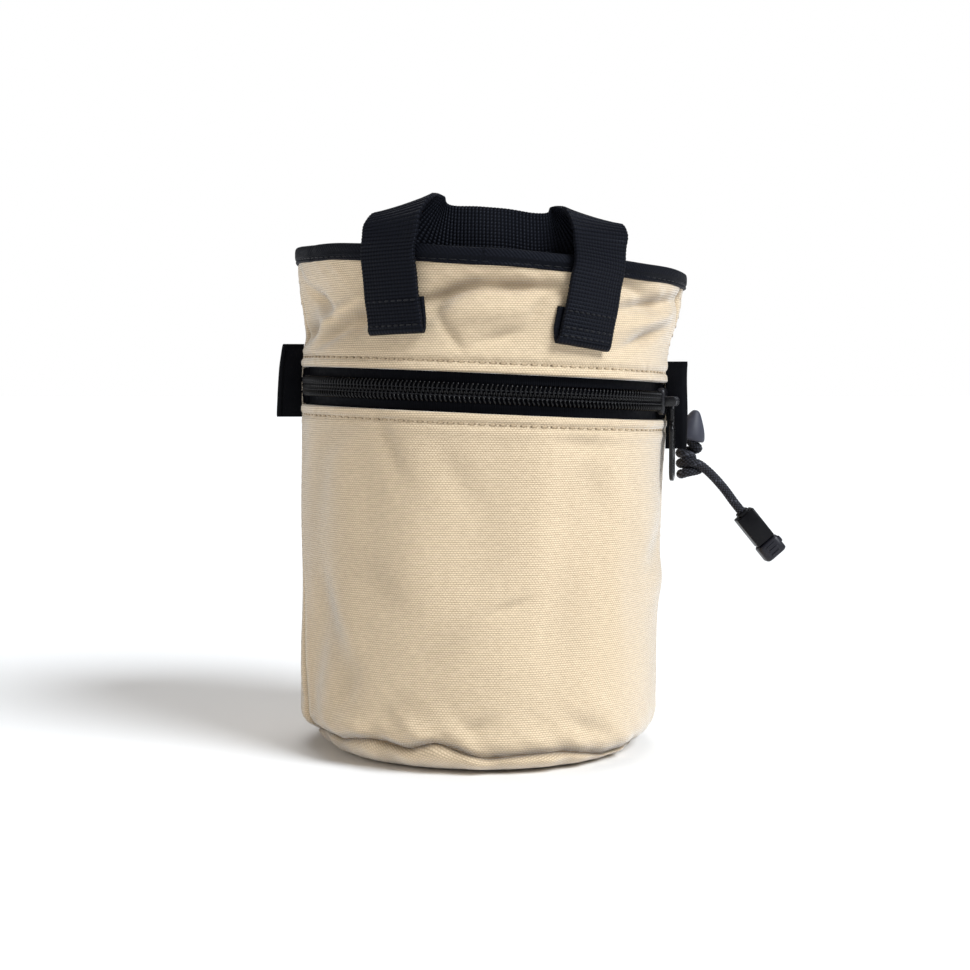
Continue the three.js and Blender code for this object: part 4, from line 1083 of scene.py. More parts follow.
# %% The base
def canvas_base():
    """Rings from the middle to the seam and back: radius and height follow a quarter ellipse
    on the roll, with tucks that grow toward the seam."""
    deg = wrapped(np.arange(360) * 1.0)[None, :]
    seam_z = sewn_seam(deg) - SEAT_GAP / 2
    seam_r = plain_radius(deg, seam_z) - dips(deg, seam_z, HOLLOWS) - rounded_under(deg, seam_z)
    t = np.linspace(0, 1, 26)[:, None] * math.pi / 2
    share = np.linspace(0, 1, 26)[:, None]
    tuck = puckers(deg, seam_z, seam_z, 1.0, 1.5, SEAM_PUCKERS) * np.sin(math.pi * share ** 1.5) * share
    swell = 0.9 - 2.6 * np.sin(np.radians(deg)) ** 2
    tuck = tuck + swell * np.sin(math.pi * share ** 2) - BASE_TUCK * share ** 14
    roll_r = seam_r - BASE_ROLL * (1 - np.sin(t)) + tuck
    roll_z = seam_z * (1 - np.cos(t)) + 0 * deg
    flat = np.linspace(0.002, 1, 40, endpoint=False)[:, None]
    flat_r, flat_z = roll_r[0] * flat, 0.0 * flat + 0 * deg
    inner_r = np.concatenate([seam_r - WALL - (BASE_ROLL - WALL) * (1 - share[::-1]),
                              (seam_r - BASE_ROLL) * flat[::-1]])
    inner_z = np.concatenate([WALL + (seam_z - WALL) * share[::-1] ** 2, WALL + 0 * flat + 0 * deg])
    r = np.concatenate([flat_r, roll_r, inner_r])
    z = np.concatenate([flat_z, roll_z, inner_z])
    points = around(deg, r, z)
    run = np.concatenate([[0], np.cumsum(np.hypot(np.diff(r, axis=0), np.diff(z, axis=0)).mean(1))])
    places = around(deg, run[:, None], 0.0)[..., :2]
    # Painted shade on the roll: a little all over, more where tucks fall in and next to the seam.
    fold = np.zeros(points.shape[:2])
    fold[len(flat):len(flat) + len(share)] = np.clip(0.14 - 0.2 * tuck + 0.5 * share ** 12, 0, 1)
    return points, closed_faces(*points.shape[:2]), places, fold


points, faces, places, fold = canvas_base()
piece("canvas_base", points, faces, canvas, uv=places, stands_for=["base_panel"],
      marks={"fold": fold})

# %% [markdown]
# ## Stitches
#
# A row of lockstitch shows short round threads lying in a furrow, with a dark hole between them
# where the needle went down. One stitch is a small bent spindle of a few dozen faces. It is copied
# along the row with whole-array sums, and its ends carry a mark that darkens them: painted shade.

# %% One stitch and a row of them
STITCH_PITCH = 3.1


def stitch_shape(length, radius):
    """A spindle along x: its radius swells from the ends, and its middle lies higher."""
    t = np.linspace(-1, 1, 7)[:, None]
    a = np.linspace(0, 2 * math.pi, 6, endpoint=False)[None, :]
    r = radius * np.sqrt(np.clip(1.06 - t ** 4, 0.05, 1))
    height = r * np.sin(a) + radius * (0.4 - 1.5 * t ** 4)
    points = np.stack(np.broadcast_arrays(t * length / 2, r * np.cos(a), height), -1)
    # dark_ends marks painted shade at both ends of a stitch, where it dips into the cloth.
    dark_ends = np.broadcast_to(np.clip((np.abs(t) - 0.4) / 0.45, 0, 1), (7, 6))
    return points.reshape(-1, 3), closed_faces(7, 6), dark_ends.ravel()


def stitch_row(line, out, pitch=STITCH_PITCH, length=2.75, radius=0.27):
    """Stitches spread evenly along a line of places, standing up along out."""
    run = lengths_along(line)
    count = max(2, int(run[-1] / pitch))
    at = (np.arange(count) + 0.5) * run[-1] / count
    origins = np.stack([np.interp(at, run, line[:, n]) for n in range(3)], 1)
    up = unit(np.stack([np.interp(at, run, out[:, n]) for n in range(3)], 1))
    ahead = np.stack([np.interp(at + 0.4, run, line[:, n]) for n in range(3)], 1) - origins
    ahead = unit(ahead + 1e-9)
    side = unit(np.cross(up, ahead))
    ahead = np.cross(side, up)
    shape, faces, dip = stitch_shape(length, radius)
    points, faces = repeated(shape, faces, ahead, side, up, origins)
    return points, faces, np.tile(dip, count), np.tile(shape[:, :2], (count, 1))


def thread_piece(name, rows, finish):
    """Several rows of stitches as one piece."""
    points, faces = together(*[(row[0], row[1]) for row in rows])
    dip = np.concatenate([row[2] for row in rows])
    places = np.concatenate([row[3] for row in rows])
    return piece(name, points, faces, finish, uv=places, marks={"dip": dip})


def row_on_wall(from_deg, to_deg, height, lift=0.05, window=True):
    """A row round the wall, at a height given for each angle."""
    deg = np.linspace(from_deg, to_deg, 400)
    z = height(deg)
    gap = np.full_like(deg, 40.0)
    line = wall_point(deg, z, wall_relief(deg, z, gap, window) + lift)
    return stitch_row(line, outward(deg), radius=0.31)


rows = [row_on_wall(SEAM_LEFT + 1.5, SEAM_RIGHT - 1.5, lambda deg: window_top(deg) + TOPSTITCH_INSET),
        row_on_wall(SEAM_LEFT + 1.5, SEAM_RIGHT - 1.5, lambda deg: window_foot(deg) - TOPSTITCH_INSET)]
thread_piece("zip_topstitching", rows, beige_thread)


def seam_row(seam_deg, shift, low, high):
    """A row beside a side seam, at an angle that swings with the seam."""
    z = np.linspace(low, high, 400)
    deg = swung(np.full_like(z, seam_deg), z) + shift
    line = wall_point(deg, z, wall_relief(deg, z, np.full_like(z, 3.0), False) - 0.2)
    return stitch_row(line, outward(deg), radius=0.17)


rows = [seam_row(SEAM_LEFT, -3.2, 13.0, 105.0), seam_row(SEAM_LEFT, -3.2, 132.5, 153.0),
        seam_row(SEAM_RIGHT, 3.2, 13.0, 95.0), seam_row(SEAM_RIGHT, 3.2, 126.5, 147.0)]
thread_piece("side_seam_stitching", rows, beige_thread)

# %% [markdown]
# ## The rim binding
#
# A band of twill is folded over the raw top edge and sewn through. Its outline is a rounded
# oblong: straight sides, a full round top and thin lower edges. It is carried round the mouth
# along the rim's own height, and a furrow marks its row of stitches.

# %% The rim binding
def rim_band():
    """A superellipse carried round the rim; its width swells a little between the stitches."""
    deg = wrapped(np.linspace(0, 360, 480, endpoint=False))[:, None]
    a = np.linspace(0, 2 * math.pi, 52, endpoint=False)[None, :]
    half = WALL / 2 + BINDING_LIP
    power = 2 / 4.2
    x = half * np.sign(np.cos(a)) * np.abs(np.cos(a)) ** power
    y = BINDING_HEIGHT / 2 * np.sign(np.sin(a)) * np.abs(np.sin(a)) ** power
    x = x - 0.35 * (x > 0) * bump_at(y + 1.5, 0.45)
    wave = 0.16 * np.sin(np.radians(deg) * 9 + 1) + 0.1 * np.sin(np.radians(deg) * 17)
    crease = -0.35 * bump_at(wrapped(deg + 60.0), 2.2) * (x > 0)
    z = rim_height(deg)
    points = wall_point(deg + 0 * x, z + 0 * x, x - WALL / 2 + wave + crease)
    points[..., 2] = z + y + 0.12 * np.sin(np.radians(deg) * 13)
    return points


band = rim_band()
around_mm = np.radians(np.linspace(0, 360, 481)[:-1])[:, None] * BODY_RADIUS
across_mm = np.concatenate([[0], np.cumsum(np.linalg.norm(np.diff(band[0], axis=0), axis=1))])[None, :]
band_uv = np.stack(np.broadcast_arrays(around_mm, across_mm), -1)
piece("twill_rim_binding", band, [grid_faces(*band.shape[:2], close_rows=True, close_columns=True)],
      rim_twill, uv=band_uv, stands_for=["rim_binding"])
deg = np.linspace(-179.5, 179.5, 900)
line = wall_point(deg, rim_height(deg), BINDING_LIP - 0.36)
line[:, 2] = rim_height(deg) - 1.5
thread_piece("binding_stitching", [stitch_row(line, outward(deg), radius=0.15)], black_thread)

# %% [markdown]
# ## The zip
#
# Two knitted tapes lie behind the canvas, and meet under the coil. A coil zip is two springs
# of nylon whose loops interlock. From the front each loop is a round bar that bends over at
# its outer side and has a thick head in the middle, and the loops of the two halves take turns.
# Modelling the loops costs little, and gives the row of small lights that paint can't.

# %% The zip tapes
TAPE_FACE = -(WALL + SEAT_GAP)
TAPE_THICKNESS, TAPE_LAP = 0.9, 5.0
CHAIN_WIDTH = 6.0
TAB_TAPE, TAB_SLIT = 1.1, 0.6
SLIDER_DEG, SLIDER_LENGTH = 77.0, 9.0


per_mm = math.degrees(1 / BODY_RADIUS)


def zip_tape(name, low, high, stands_for):
    """A thin sheet between two heights from the middle of the zip, with a beaded edge. Inside
    the window its ends come forward to the seam, so they close the slit beside the canvas."""
    deg = np.linspace(SEAM_LEFT + 0.25, SEAM_RIGHT - 0.25, 260)[None, :]
    across = np.linspace(low, high, 22)[:, None]
    z = zip_height(deg) + across
    bead = 0.2 * bump_at(np.abs(across) - CHAIN_WIDTH / 2 - 0.3, 0.3)
    to_end = np.minimum(deg - SEAM_LEFT, SEAM_RIGHT - deg) / per_mm
    forward = bump_at(to_end, 1.6) * np.clip((WINDOW_HEIGHT / 2 - np.abs(across)) / 0.3, 0, 1)
    outer = wall_point(deg, z, TAPE_FACE + bead + 2.1 * forward)
    inner = wall_point(deg, z, TAPE_FACE - TAPE_THICKNESS)
    grid, faces = two_sided(outer, inner)
    places = np.stack(np.broadcast_arrays(np.radians(deg) * BODY_RADIUS, across), -1)
    return piece(name, grid, faces, zip_knit, uv=both_sides(places), stands_for=stands_for)


tape_edge = WINDOW_HEIGHT / 2 + TAPE_LAP
zip_tape("knitted_tape_upper", SEAT_GAP / 2, tape_edge, ["zip_tape_upper"])
zip_tape("knitted_tape_lower", -tape_edge, -SEAT_GAP / 2, ["zip_tape_lower"])

# %% The coil
TOOTH_PITCH = 1.45
chain_start = SEAM_LEFT + (TAB_SLIT / 2 + TAB_TAPE + SEAT_GAP) * per_mm
chain_end = SLIDER_DEG - (SLIDER_LENGTH / 2 + SEAT_GAP) * per_mm
LOOP = np.array([
    # along the zip, up from its middle, out of the wall, half thickness: one loop of the upper coil
    (0.10, 2.55, -1.55, 0.26), (0.34, 2.88, -1.05, 0.31), (0.40, 2.90, -0.45, 0.34),
    (0.26, 2.5, 0.02, 0.36), (-0.04, 1.95, 0.15, 0.34), (-0.20, 1.35, 0.02, 0.33),
    (-0.14, 0.85, -0.28, 0.33), (-0.02, 0.2, 0.0, 0.41), (0.0, -0.40, -0.4, 0.38), (0.0, -0.3, -0.95, 0.28),
])


def loop_shape(mirror):
    """A round tube through the loop's places, with eight sides."""
    line = LOOP[:, :3] * (1, mirror, 1)
    side, up = steady_frames(line, (1.0, 0.0, 0.0))
    a = np.linspace(0, 2 * math.pi, 8, endpoint=False)[None, :]
    points = swept(line, side, up, LOOP[:, 3:] * np.cos(a), LOOP[:, 3:] * np.sin(a))
    return points.reshape(-1, 3), closed_faces(len(line), 8)


def coil_half(mirror, shift):
    """One spring: a loop at every pitch, turned to follow the wall."""
    deg = np.arange(chain_start + (0.6 + shift) * per_mm, chain_end - 0.5 * per_mm, TOOTH_PITCH * per_mm)
    z = zip_height(deg)
    out = outward(deg)
    shape, faces = loop_shape(mirror)
    up = np.tile((0.0, 0.0, 1.0), (len(deg), 1))
    return repeated(shape, faces, tangent(deg), up, out, wall_point(deg, z, 0.0))


def coil_sewing(mirror, shift):
    """The thread that sews each loop down: one short stitch over every loop."""
    deg = np.arange(chain_start + (0.6 + shift) * per_mm, chain_end - 0.5 * per_mm, TOOTH_PITCH * per_mm)
    z = zip_height(deg)
    origins = wall_point(deg, z, 0.05)
    origins[:, 2] = z + mirror * 1.0
    shape, faces, _ = stitch_shape(1.42, 0.2)
    up = np.tile((0.0, 0.0, 1.0), (len(deg), 1))
    return repeated(shape, faces, tangent(deg), up, outward(deg), origins)


halves = [coil_half(1, 0.0), coil_half(-1, TOOTH_PITCH / 2)]
points, faces = together(*halves)
piece("zip_coil_loops", points, faces, coil_nylon, stands_for=["zip_chain"])
points, faces = together(coil_sewing(1, 0.0), coil_sewing(-1, TOOTH_PITCH / 2))
piece("zip_coil_sewing", points, faces, black_thread,
      uv=np.zeros((len(points), 2)), marks={"dip": np.zeros(len(points))})

# %% [markdown]
# The slider is a small cast body with rounded edges and a crowned back. Two lugs carry the bar
# on which the puller turns. Its frame is set on the wall: along the zip, up, and out. The
# puller is a flat blade with a hole, so its surface is one ring of outlines that runs from the
# hole over the front face, round the edge and back to the hole.

# %% The zip slider
SLIDER_SIDE, SLIDER_PROUD = 1.3, 0.9
LUG_THICKNESS, LUG_HEIGHT, LUG_PROUD = 1.4, 3.2, 3.7
BAR_RADIUS, EYE_WALL, EYE_LENGTH = 0.8, 0.5, 4.2
slider_z = zip_height(SLIDER_DEG)
slider_origin = wall_point(SLIDER_DEG, slider_z, 0.0)
along_zip, out_of_wall, up = tangent(SLIDER_DEG), outward(SLIDER_DEG), np.array([0.0, 0.0, 1.0])
eye_radius = BAR_RADIUS + SEAT_GAP + EYE_WALL
bar_offset = SLIDER_PROUD + SEAT_GAP + eye_radius
pivot = slider_origin + out_of_wall * bar_offset
slider_back = TAPE_FACE + SEAT_GAP
body_points, body_faces = bar_points(SLIDER_LENGTH, CHAIN_WIDTH + 2 * SLIDER_SIDE,
                                     SLIDER_PROUD - slider_back, 1.6, 0.7, 5)
crown = np.clip(body_points[:, 2] / (SLIDER_PROUD - slider_back), 0, 1)
body_points[:, 2] -= crown * 0.012 * (body_points[:, 1] ** 2)
slider_foot = slider_origin + out_of_wall * slider_back
slider_body = (placed(body_points, slider_foot, along_zip, up, out_of_wall), body_faces)
lug_start = EYE_LENGTH / 2 + SEAT_GAP
lug_points, lug_faces = bar_points(LUG_HEIGHT, LUG_PROUD + SLIDER_SIDE, LUG_THICKNESS, 1.2, 0.3)
lug_middle = slider_origin + out_of_wall * (SLIDER_PROUD + (LUG_PROUD - SLIDER_SIDE) / 2)
lugs = [(placed(lug_points, lug_middle + along_zip * s, up, out_of_wall, along_zip), lug_faces)
        for s in (lug_start, -lug_start - LUG_THICKNESS)]
pin_points, pin_faces = bar_points(2 * BAR_RADIUS, 2 * BAR_RADIUS, 2 * lug_start + LUG_THICKNESS,
                                   BAR_RADIUS, 0.2)
pin_foot = pivot - along_zip * (lug_start + LUG_THICKNESS / 2)
pin = (placed(pin_points, pin_foot, up, out_of_wall, along_zip), pin_faces)
points, faces = together(slider_body, *lugs, pin)
piece("zip_slider_body", points, faces, slider_enamel, stands_for=["zip_slider"])

# %% The zip puller
PULLER_LENGTH, PULLER_WIDTH, PULLER_THICKNESS = 25.6, 6.5, 1.3
NECK_WIDTH, NECK_LENGTH = 3.0, 7.0
HOLE_RADIUS, HOLE_INSET = 1.2, 4.0


def puller_blade():
    """Outline of the blade: a round foot, straight sides and a narrow neck, mirrored. Rings run
    from a circle round the hole's middle to the edge and back."""
    half, neck = PULLER_WIDTH / 2, NECK_WIDTH / 2
    hole = np.array([0.0, -PULLER_LENGTH + HOLE_INSET])
    rim_angle = np.linspace(math.pi, 2 * math.pi, 28)
    foot = np.stack([half * np.cos(rim_angle), -PULLER_LENGTH + half + half * np.sin(rim_angle)], 1)
    right_up = [(half, y) for y in np.linspace(-PULLER_LENGTH + half + 0.8, -NECK_LENGTH - 2.0, 16)]
    right_up += [(half - 0.25, -NECK_LENGTH - 1.2), (neck + 0.5, -NECK_LENGTH - 0.5),
                 (neck, -NECK_LENGTH + 0.3)]
    right_up += [(neck, y) for y in np.linspace(-NECK_LENGTH + 1, -1.6, 5)]
    right_up = np.array(right_up)
    outline = np.concatenate([foot, right_up, right_up[::-1] * (-1, 1)])
    direction = unit(outline - hole)
    ring = hole + direction * HOLE_RADIUS
    middle = unit(np.roll(outline, -1, 0) - np.roll(outline, 1, 0))
    normal = np.stack([middle[:, 1], -middle[:, 0]], 1)
    edge, t = 0.35, np.linspace(0, math.pi / 2, 5)
    levels = []
    for s in (1, -1):
        flat = [(k, 1.0) for k in (0.0, 0.03, 0.3, 0.6, 0.97)]
        levels += [(share, s * PULLER_THICKNESS / 2, 0.0) for share, _ in (flat if s > 0 else [])]
        bend = [(1.0, s * (PULLER_THICKNESS / 2 - edge * (1 - math.cos(q))), -edge * (1 - math.sin(q)))
                for q in t]
        levels += bend if s > 0 else bend[::-1]
        levels += [(share, s * PULLER_THICKNESS / 2, 0.0) for share, _ in (flat[::-1] if s < 0 else [])]
    rings = []
    for share, depth, inset in levels:
        moved = normal * (inset if share == 1 else 0)
        plan = ring + (outline - normal * edge * (share < 1) - ring) * share + moved
        rings.append(np.concatenate([plan, np.full((len(plan), 1), depth)], 1))
    grid = np.array(rings)
    return grid.reshape(-1, 3), [grid_faces(len(rings), len(outline), close_rows=True, close_columns=True)]


def puller_eye():
    """A washer round the bar: inner and outer circles at both ends."""
    a = np.linspace(0, 2 * math.pi, 40, endpoint=False)[None, :]
    inner, outer = BAR_RADIUS + SEAT_GAP, eye_radius
    bevel = 0.15
    r = np.array([inner, outer - bevel, outer, outer, outer - bevel, inner])[:, None]
    s = np.array([-0.5, -0.5, -0.5, 0.5, 0.5, 0.5])[:, None] * EYE_LENGTH
    s = s + np.array([0, 0, bevel, -bevel, 0, 0])[:, None]
    points = np.stack(np.broadcast_arrays(r * np.cos(a), r * np.sin(a), s), -1)
    return points.reshape(-1, 3), [grid_faces(6, 40, close_rows=True, close_columns=True)]


blade_points, blade_faces = puller_blade()
eye_points, eye_faces = puller_eye()
blade = (placed(blade_points, pivot, along_zip, up, out_of_wall), blade_faces)
eye = (placed(eye_points, pivot, up, out_of_wall, along_zip), eye_faces)
print("blade volume sign", np.sign(signed_volume(*blade)), "eye", np.sign(signed_volume(*eye)))
if signed_volume(*blade) * signed_volume(*eye) < 0:
    eye = (eye[0], [table[:, ::-1] for table in eye[1]])
points, faces = together(blade, eye)
piece("zip_puller_blade", points, faces, puller_enamel, body="puller",
      stands_for=["zip_puller"])

# %% [markdown]
# ## The webbing strap
#
# One length of ribbed webbing is sewn to the front at both ends. Between its legs it rises over
# the rim, rolls on its side and crosses as a standing band. A ribbon like this is set by its
# middle line and by the direction across it at each place. Cloth simulation would flatten such
# narrow stuff, so the line is drawn and the weave is added to its thickness.

# %% The strap's way
STRAP_WIDTH, STRAP_THICKNESS, STRAP_RISE = 18.0, 1.5, 16.0
LEG_DROP, LEG_EASE = 24.0, 0.9
TURN_LENGTH, TURN_THICKNESS, TURN_SHIFT = 11.0, 1.2, 1.2

# The free run: sideways and inward as shares of the body radius, rise as a share of the strap's
# rise above the rim, and the direction across the webbing
STRAP_RUN = np.array([
    (-0.476, -0.988, 0.36, 0.91, -0.41, 0.04),
    (-0.458, -0.975, 0.71, 0.93, -0.28, 0.18),
    (-0.395, -0.925, 0.95, 0.93, -0.12, 0.34),
    (-0.295, -0.872, 0.72, 0.6, 0.02, 0.8),
    (-0.18, -0.878, 0.44, 0.08, 0.0, 1.0),
    (0.07, -0.912, 0.37, 0.0, 0.0, 1.0),
    (0.31, -0.872, 0.29, -0.08, 0.0, 1.0),
    (0.425, -0.84, 0.52, -0.6, -0.06, 0.8),
    (0.53, -0.88, 0.74, -0.92, -0.26, 0.28),
    (0.573, -0.924, 0.5, -0.92, -0.36, 0.1),
    (0.574, -0.932, 0.2, -0.87, -0.48, 0.1),
])
# Legs: angle at the foot, angle at the rim, lean, and the side on which the turned end peeks out
LEFT_LEG = (-25.3, -26.6, 2.0, 0.5)
RIGHT_LEG = (28.3, 31.6, -8.0, -1)


def leg_foot(leg):
    return rim_height(leg[1]) - LEG_DROP


def leg_stations(leg, facing):
    """Five places down the wall, from the foot to the rim, with the direction across."""
    foot_deg, rim_deg, lean, _ = leg
    foot, rim = leg_foot(leg), rim_height(rim_deg)
    z = np.array([foot, foot + TURN_LENGTH / 2, foot + TURN_LENGTH, rim - BINDING_HEIGHT, rim])
    seat = np.array([TURN_THICKNESS] * 3 + [BINDING_LIP] * 2) + LEG_EASE
    deg = foot_deg + (rim_deg - foot_deg) * (z - foot) / (rim - foot)
    across = tangent(deg) * math.cos(math.radians(lean)) + np.array([0, 0, math.sin(math.radians(lean))])
    return around(deg, plain_radius(deg, z) + seat + STRAP_THICKNESS / 2, z), across * facing


left_places, left_across = leg_stations(LEFT_LEG, 1)
right_places, right_across = leg_stations(RIGHT_LEG, -1)
run_places = STRAP_RUN[:, :3] * (BODY_RADIUS, BODY_RADIUS, STRAP_RISE) + (0, 0, BODY_HEIGHT)
strap_places = np.vstack([left_places, run_places, right_places[::-1]])
strap_sides = np.vstack([left_across, unit(STRAP_RUN[:, 3:]), right_across[::-1]])
on_wall = np.array([1.0] * 5 + [0.0] * len(STRAP_RUN) + [1.0] * 5)
dense = 6000
middle_line = way_through(strap_places, dense, even=True)
across_line = way_through(strap_sides, dense, even=True)
bend_line = np.interp(np.linspace(0, len(on_wall) - 1, dense), np.arange(len(on_wall)), on_wall)
FOOT_TRIM = 1.3
whole = lengths_along(middle_line)
kept = (whole > FOOT_TRIM) & (whole < whole[-1] - FOOT_TRIM)
middle_line, across_line, bend_line = middle_line[kept], across_line[kept], bend_line[kept]
strap_run = lengths_along(middle_line)
strap_length = strap_run[-1]
print("strap between its feet:", round(float(strap_length), 1), "mm")

# %% [markdown]
# The ribs are part of the shape, because they show as small teeth along the strap's edge. The
# outline of the webbing is a flat oblong with round, slightly thicker edges. On the wall it
# bends round the bag: the drop at a distance w from its middle is w squared over twice the
# radius.

# %% The strap
WEAVE_RIB = 1.1
count = int(strap_length / 0.2)
at = np.linspace(0, strap_length, count)
middle = np.stack([np.interp(at, strap_run, middle_line[:, n]) for n in range(3)], 1)
across = np.stack([np.interp(at, strap_run, across_line[:, n]) for n in range(3)], 1)
bend = np.interp(at, strap_run, bend_line)[:, None]
ahead = unit(np.gradient(middle, axis=0))
strap_out = unit(np.cross(across, ahead))
w_top = np.linspace(-STRAP_WIDTH / 2 + 0.35, STRAP_WIDTH / 2 - 0.35, 19)
w = np.concatenate([w_top, [STRAP_WIDTH / 2 - 0.08, STRAP_WIDTH / 2, STRAP_WIDTH / 2 - 0.08], w_top[::-1],
                    [-STRAP_WIDTH / 2 + 0.08, -STRAP_WIDTH / 2, -STRAP_WIDTH / 2 + 0.08]])[None, :]
face = np.concatenate([np.ones(19), [0.62, 0, -0.62], -np.ones(19), [-0.62, 0, 0.62]])[None, :]
rib_wave = np.abs(np.sin(math.pi * at / WEAVE_RIB))[:, None] ** 0.7
selvedge = 0.10 * bump_at(np.abs(w) - STRAP_WIDTH / 2 + 0.7, 0.6)
wander = 0.10 * np.sin(at * 0.21 + 0.6)[:, None] + 0.06 * np.sin(at * 0.53)[:, None]
thick = STRAP_THICKNESS / 2 + 0.16 * (rib_wave - 0.7) + selvedge
edge_teeth = 0.12 * (rib_wave - 0.5) * np.sign(w) * (np.abs(face) < 0.9)
cup = 0.35 * (1 - bend) * (w / 9) ** 2
sag = bend * w * w / (2 * BODY_RADIUS)
strap_points = swept(middle, across, strap_out, w + edge_teeth + wander, face * thick - sag + cup)
surface_run = np.concatenate([[0], np.cumsum(np.hypot(np.diff(w[0]), np.diff(face[0] * STRAP_THICKNESS / 2)))])
strap_uv = np.stack(np.broadcast_arrays(at[:, None], surface_run[None, :]), -1)
piece("ribbed_webbing_strap", strap_points, closed_faces(count, w.shape[1]), webbing,
      uv=strap_uv, stands_for=["webbing_strap"])

# %% [markdown]
# At each foot the strap's end is turned under, so a second layer shows at one side and the
# bottom edge is a round fold. The fold is a ribbon too: it starts at the strap's end, goes
# round half a circle and up along the wall.

# %% The turned ends
def turned_end(name, leg, stands_for):
    """Ribbon through a half circle and a straight part; rows follow its length."""
    foot_deg, rim_deg, lean, peek = leg
    foot = leg_foot(leg)
    top_offset = TURN_THICKNESS + LEG_EASE + STRAP_THICKNESS / 2
    low_offset = SEAT_GAP + TURN_THICKNESS / 2 + 0.1
    fold = (top_offset - low_offset) / 2
    t = np.linspace(0, math.pi, 16)
    height = np.concatenate([[1.9], 1.15 - fold * np.sin(t), np.linspace(1.6, TURN_LENGTH - 0.6, 44)])
    offset = np.concatenate([[top_offset], low_offset + fold * (1 + np.cos(t)), np.full(44, low_offset)])
    step = np.stack([np.gradient(height), np.gradient(offset)], 1)
    step /= np.linalg.norm(step, axis=1, keepdims=True)
    run = np.concatenate([[0], np.cumsum(np.hypot(np.diff(height), np.diff(offset)))])
    rib = 0.12 * (np.abs(np.sin(math.pi * run / WEAVE_RIB)) ** 0.7 - 0.7)[:, None]
    shift = peek * TURN_SHIFT * np.clip((run - 1.5) / 5.0, 0, 1)[:, None]
    across_w = np.concatenate([w_top, [9.0], w_top[::-1], [-9.0]])[None, :] * 0.985
    side = np.concatenate([np.ones(19), [0], -np.ones(19), [0]])[None, :]
    half = TURN_THICKNESS / 2 + rib
    h = height[:, None] - side * half * step[:, 1:]
    o = offset[:, None] + side * half * step[:, :1]
    place = across_w + shift
    deg = foot_deg + (rim_deg - foot_deg) * h / LEG_DROP
    deg = deg + np.degrees(place / BODY_RADIUS) * math.cos(math.radians(lean))
    z = foot + h + place * math.sin(math.radians(lean))
    points = around(deg, plain_radius(deg, z) + o, z)
    uv = np.stack(np.broadcast_arrays(run[:, None] + 0.4, across_w), -1)
    return piece(name, points, closed_faces(len(height), across_w.shape[1]), webbing, uv=uv,
                 stands_for=stands_for)


turned_end("left_turned_end", LEFT_LEG, ["strap_turn_left"])
turned_end("right_turned_end", RIGHT_LEG, ["strap_turn_right"])


def foot_stitches(leg, heights):
    """Rows of stitches straight across a foot, each at a height above it."""
    foot_deg, rim_deg, lean, _ = leg
    rows = []
    place = np.linspace(-STRAP_WIDTH / 2 + 1.2, STRAP_WIDTH / 2 - 1.2, 60)
    for height in heights:
        z = leg_foot(leg) + height + place * math.sin(math.radians(lean))
        middle_deg = foot_deg + (rim_deg - foot_deg) * height / LEG_DROP
        deg = middle_deg + np.degrees(place / BODY_RADIUS)
        radius = plain_radius(deg, z) + TURN_THICKNESS + LEG_EASE + STRAP_THICKNESS + 0.02
        rows.append(stitch_row(around(deg, radius, z), outward(deg), pitch=1.9, length=1.75, radius=0.24))
    return rows


thread_piece("strap_foot_stitching", foot_stitches(LEFT_LEG, (2.2, 9.4))
             + foot_stitches(RIGHT_LEG, (2.2, 4.6, 9.4)), black_thread)

# %% [markdown]
# ## The side tabs
#
# A short tape is folded in half and both its ends are caught in the side seam. The fold points
# outward and its bend is round. The outline goes out along one layer, round the fold, and back
# along the other, then returns inside the slit.

# %% The side tabs
def side_tab(name, seam_deg, middle_z, height, reach, flare, stands_for):
    """The folded tape's outline at each level of its height; corners at the ends are softened."""
    outer, inner = TAB_SLIT / 2 + TAB_TAPE, TAB_SLIT / 2
    a = np.linspace(-math.pi / 2, math.pi / 2, 14)
    straight = np.linspace(0, reach - outer, 12)
    out = np.concatenate([straight, reach - outer + outer * np.cos(a), straight[::-1],
                          straight, reach - outer + inner * np.cos(a[::-1]), straight[::-1]])
    side = np.concatenate([np.full(12, -outer), outer * np.sin(a), np.full(12, outer),
                           np.full(12, inner), inner * np.sin(a[::-1]), np.full(12, -inner)])
    v = np.concatenate([[-0.5], np.linspace(-0.49, 0.49, 40), [0.5]])[:, None]
    z = middle_z + height * v + 0 * out[None, :]
    pull = 1 - flare * v / reach - 0.02 * bump_at((np.abs(v) - 0.5) * height, 0.5)
    puff = 1 + 0.25 * np.sin(math.pi * (v + 0.5)) * np.sin(math.pi * np.clip(out / reach, 0, 1))[None, :]
    ease = 1 - 0.12 * bump_at((np.abs(v) - 0.5) * height, 0.35)
    root = wall_point(np.full_like(z, seam_deg), z, SEAT_GAP + outer ** 2 / (2 * BODY_RADIUS))
    sway = 0.35 * np.sin(v * 5.0 + 1.0) * (out[None, :] / reach) ** 2
    points = root + outward(seam_deg) * (out[None, :] * pull)[..., None]
    points = points + tangent(seam_deg) * (side[None, :] * puff * ease + sway)[..., None]
    run = np.concatenate([[0], np.cumsum(np.hypot(np.diff(out), np.diff(side)))])
    uv = np.stack(np.broadcast_arrays(run[None, :], z), -1)
    return piece(name, points, closed_faces(len(v), len(out)), tab_tape, uv=uv,
                 stands_for=stands_for)


side_tab("folded_tab_left", SEAM_LEFT, ZIP_HEIGHT + 4.2, 23.5, 7.6, 1.2, ["side_tab_left"])
side_tab("folded_tab_right", SEAM_RIGHT, ZIP_HEIGHT - 3.8, 28.3, 7.0, 0.0, ["side_tab_right"])

# %% [markdown]
# The eyelet is a plain pressed ring with a rounded lip. It is a small outline carried round a
# circle on the wall.

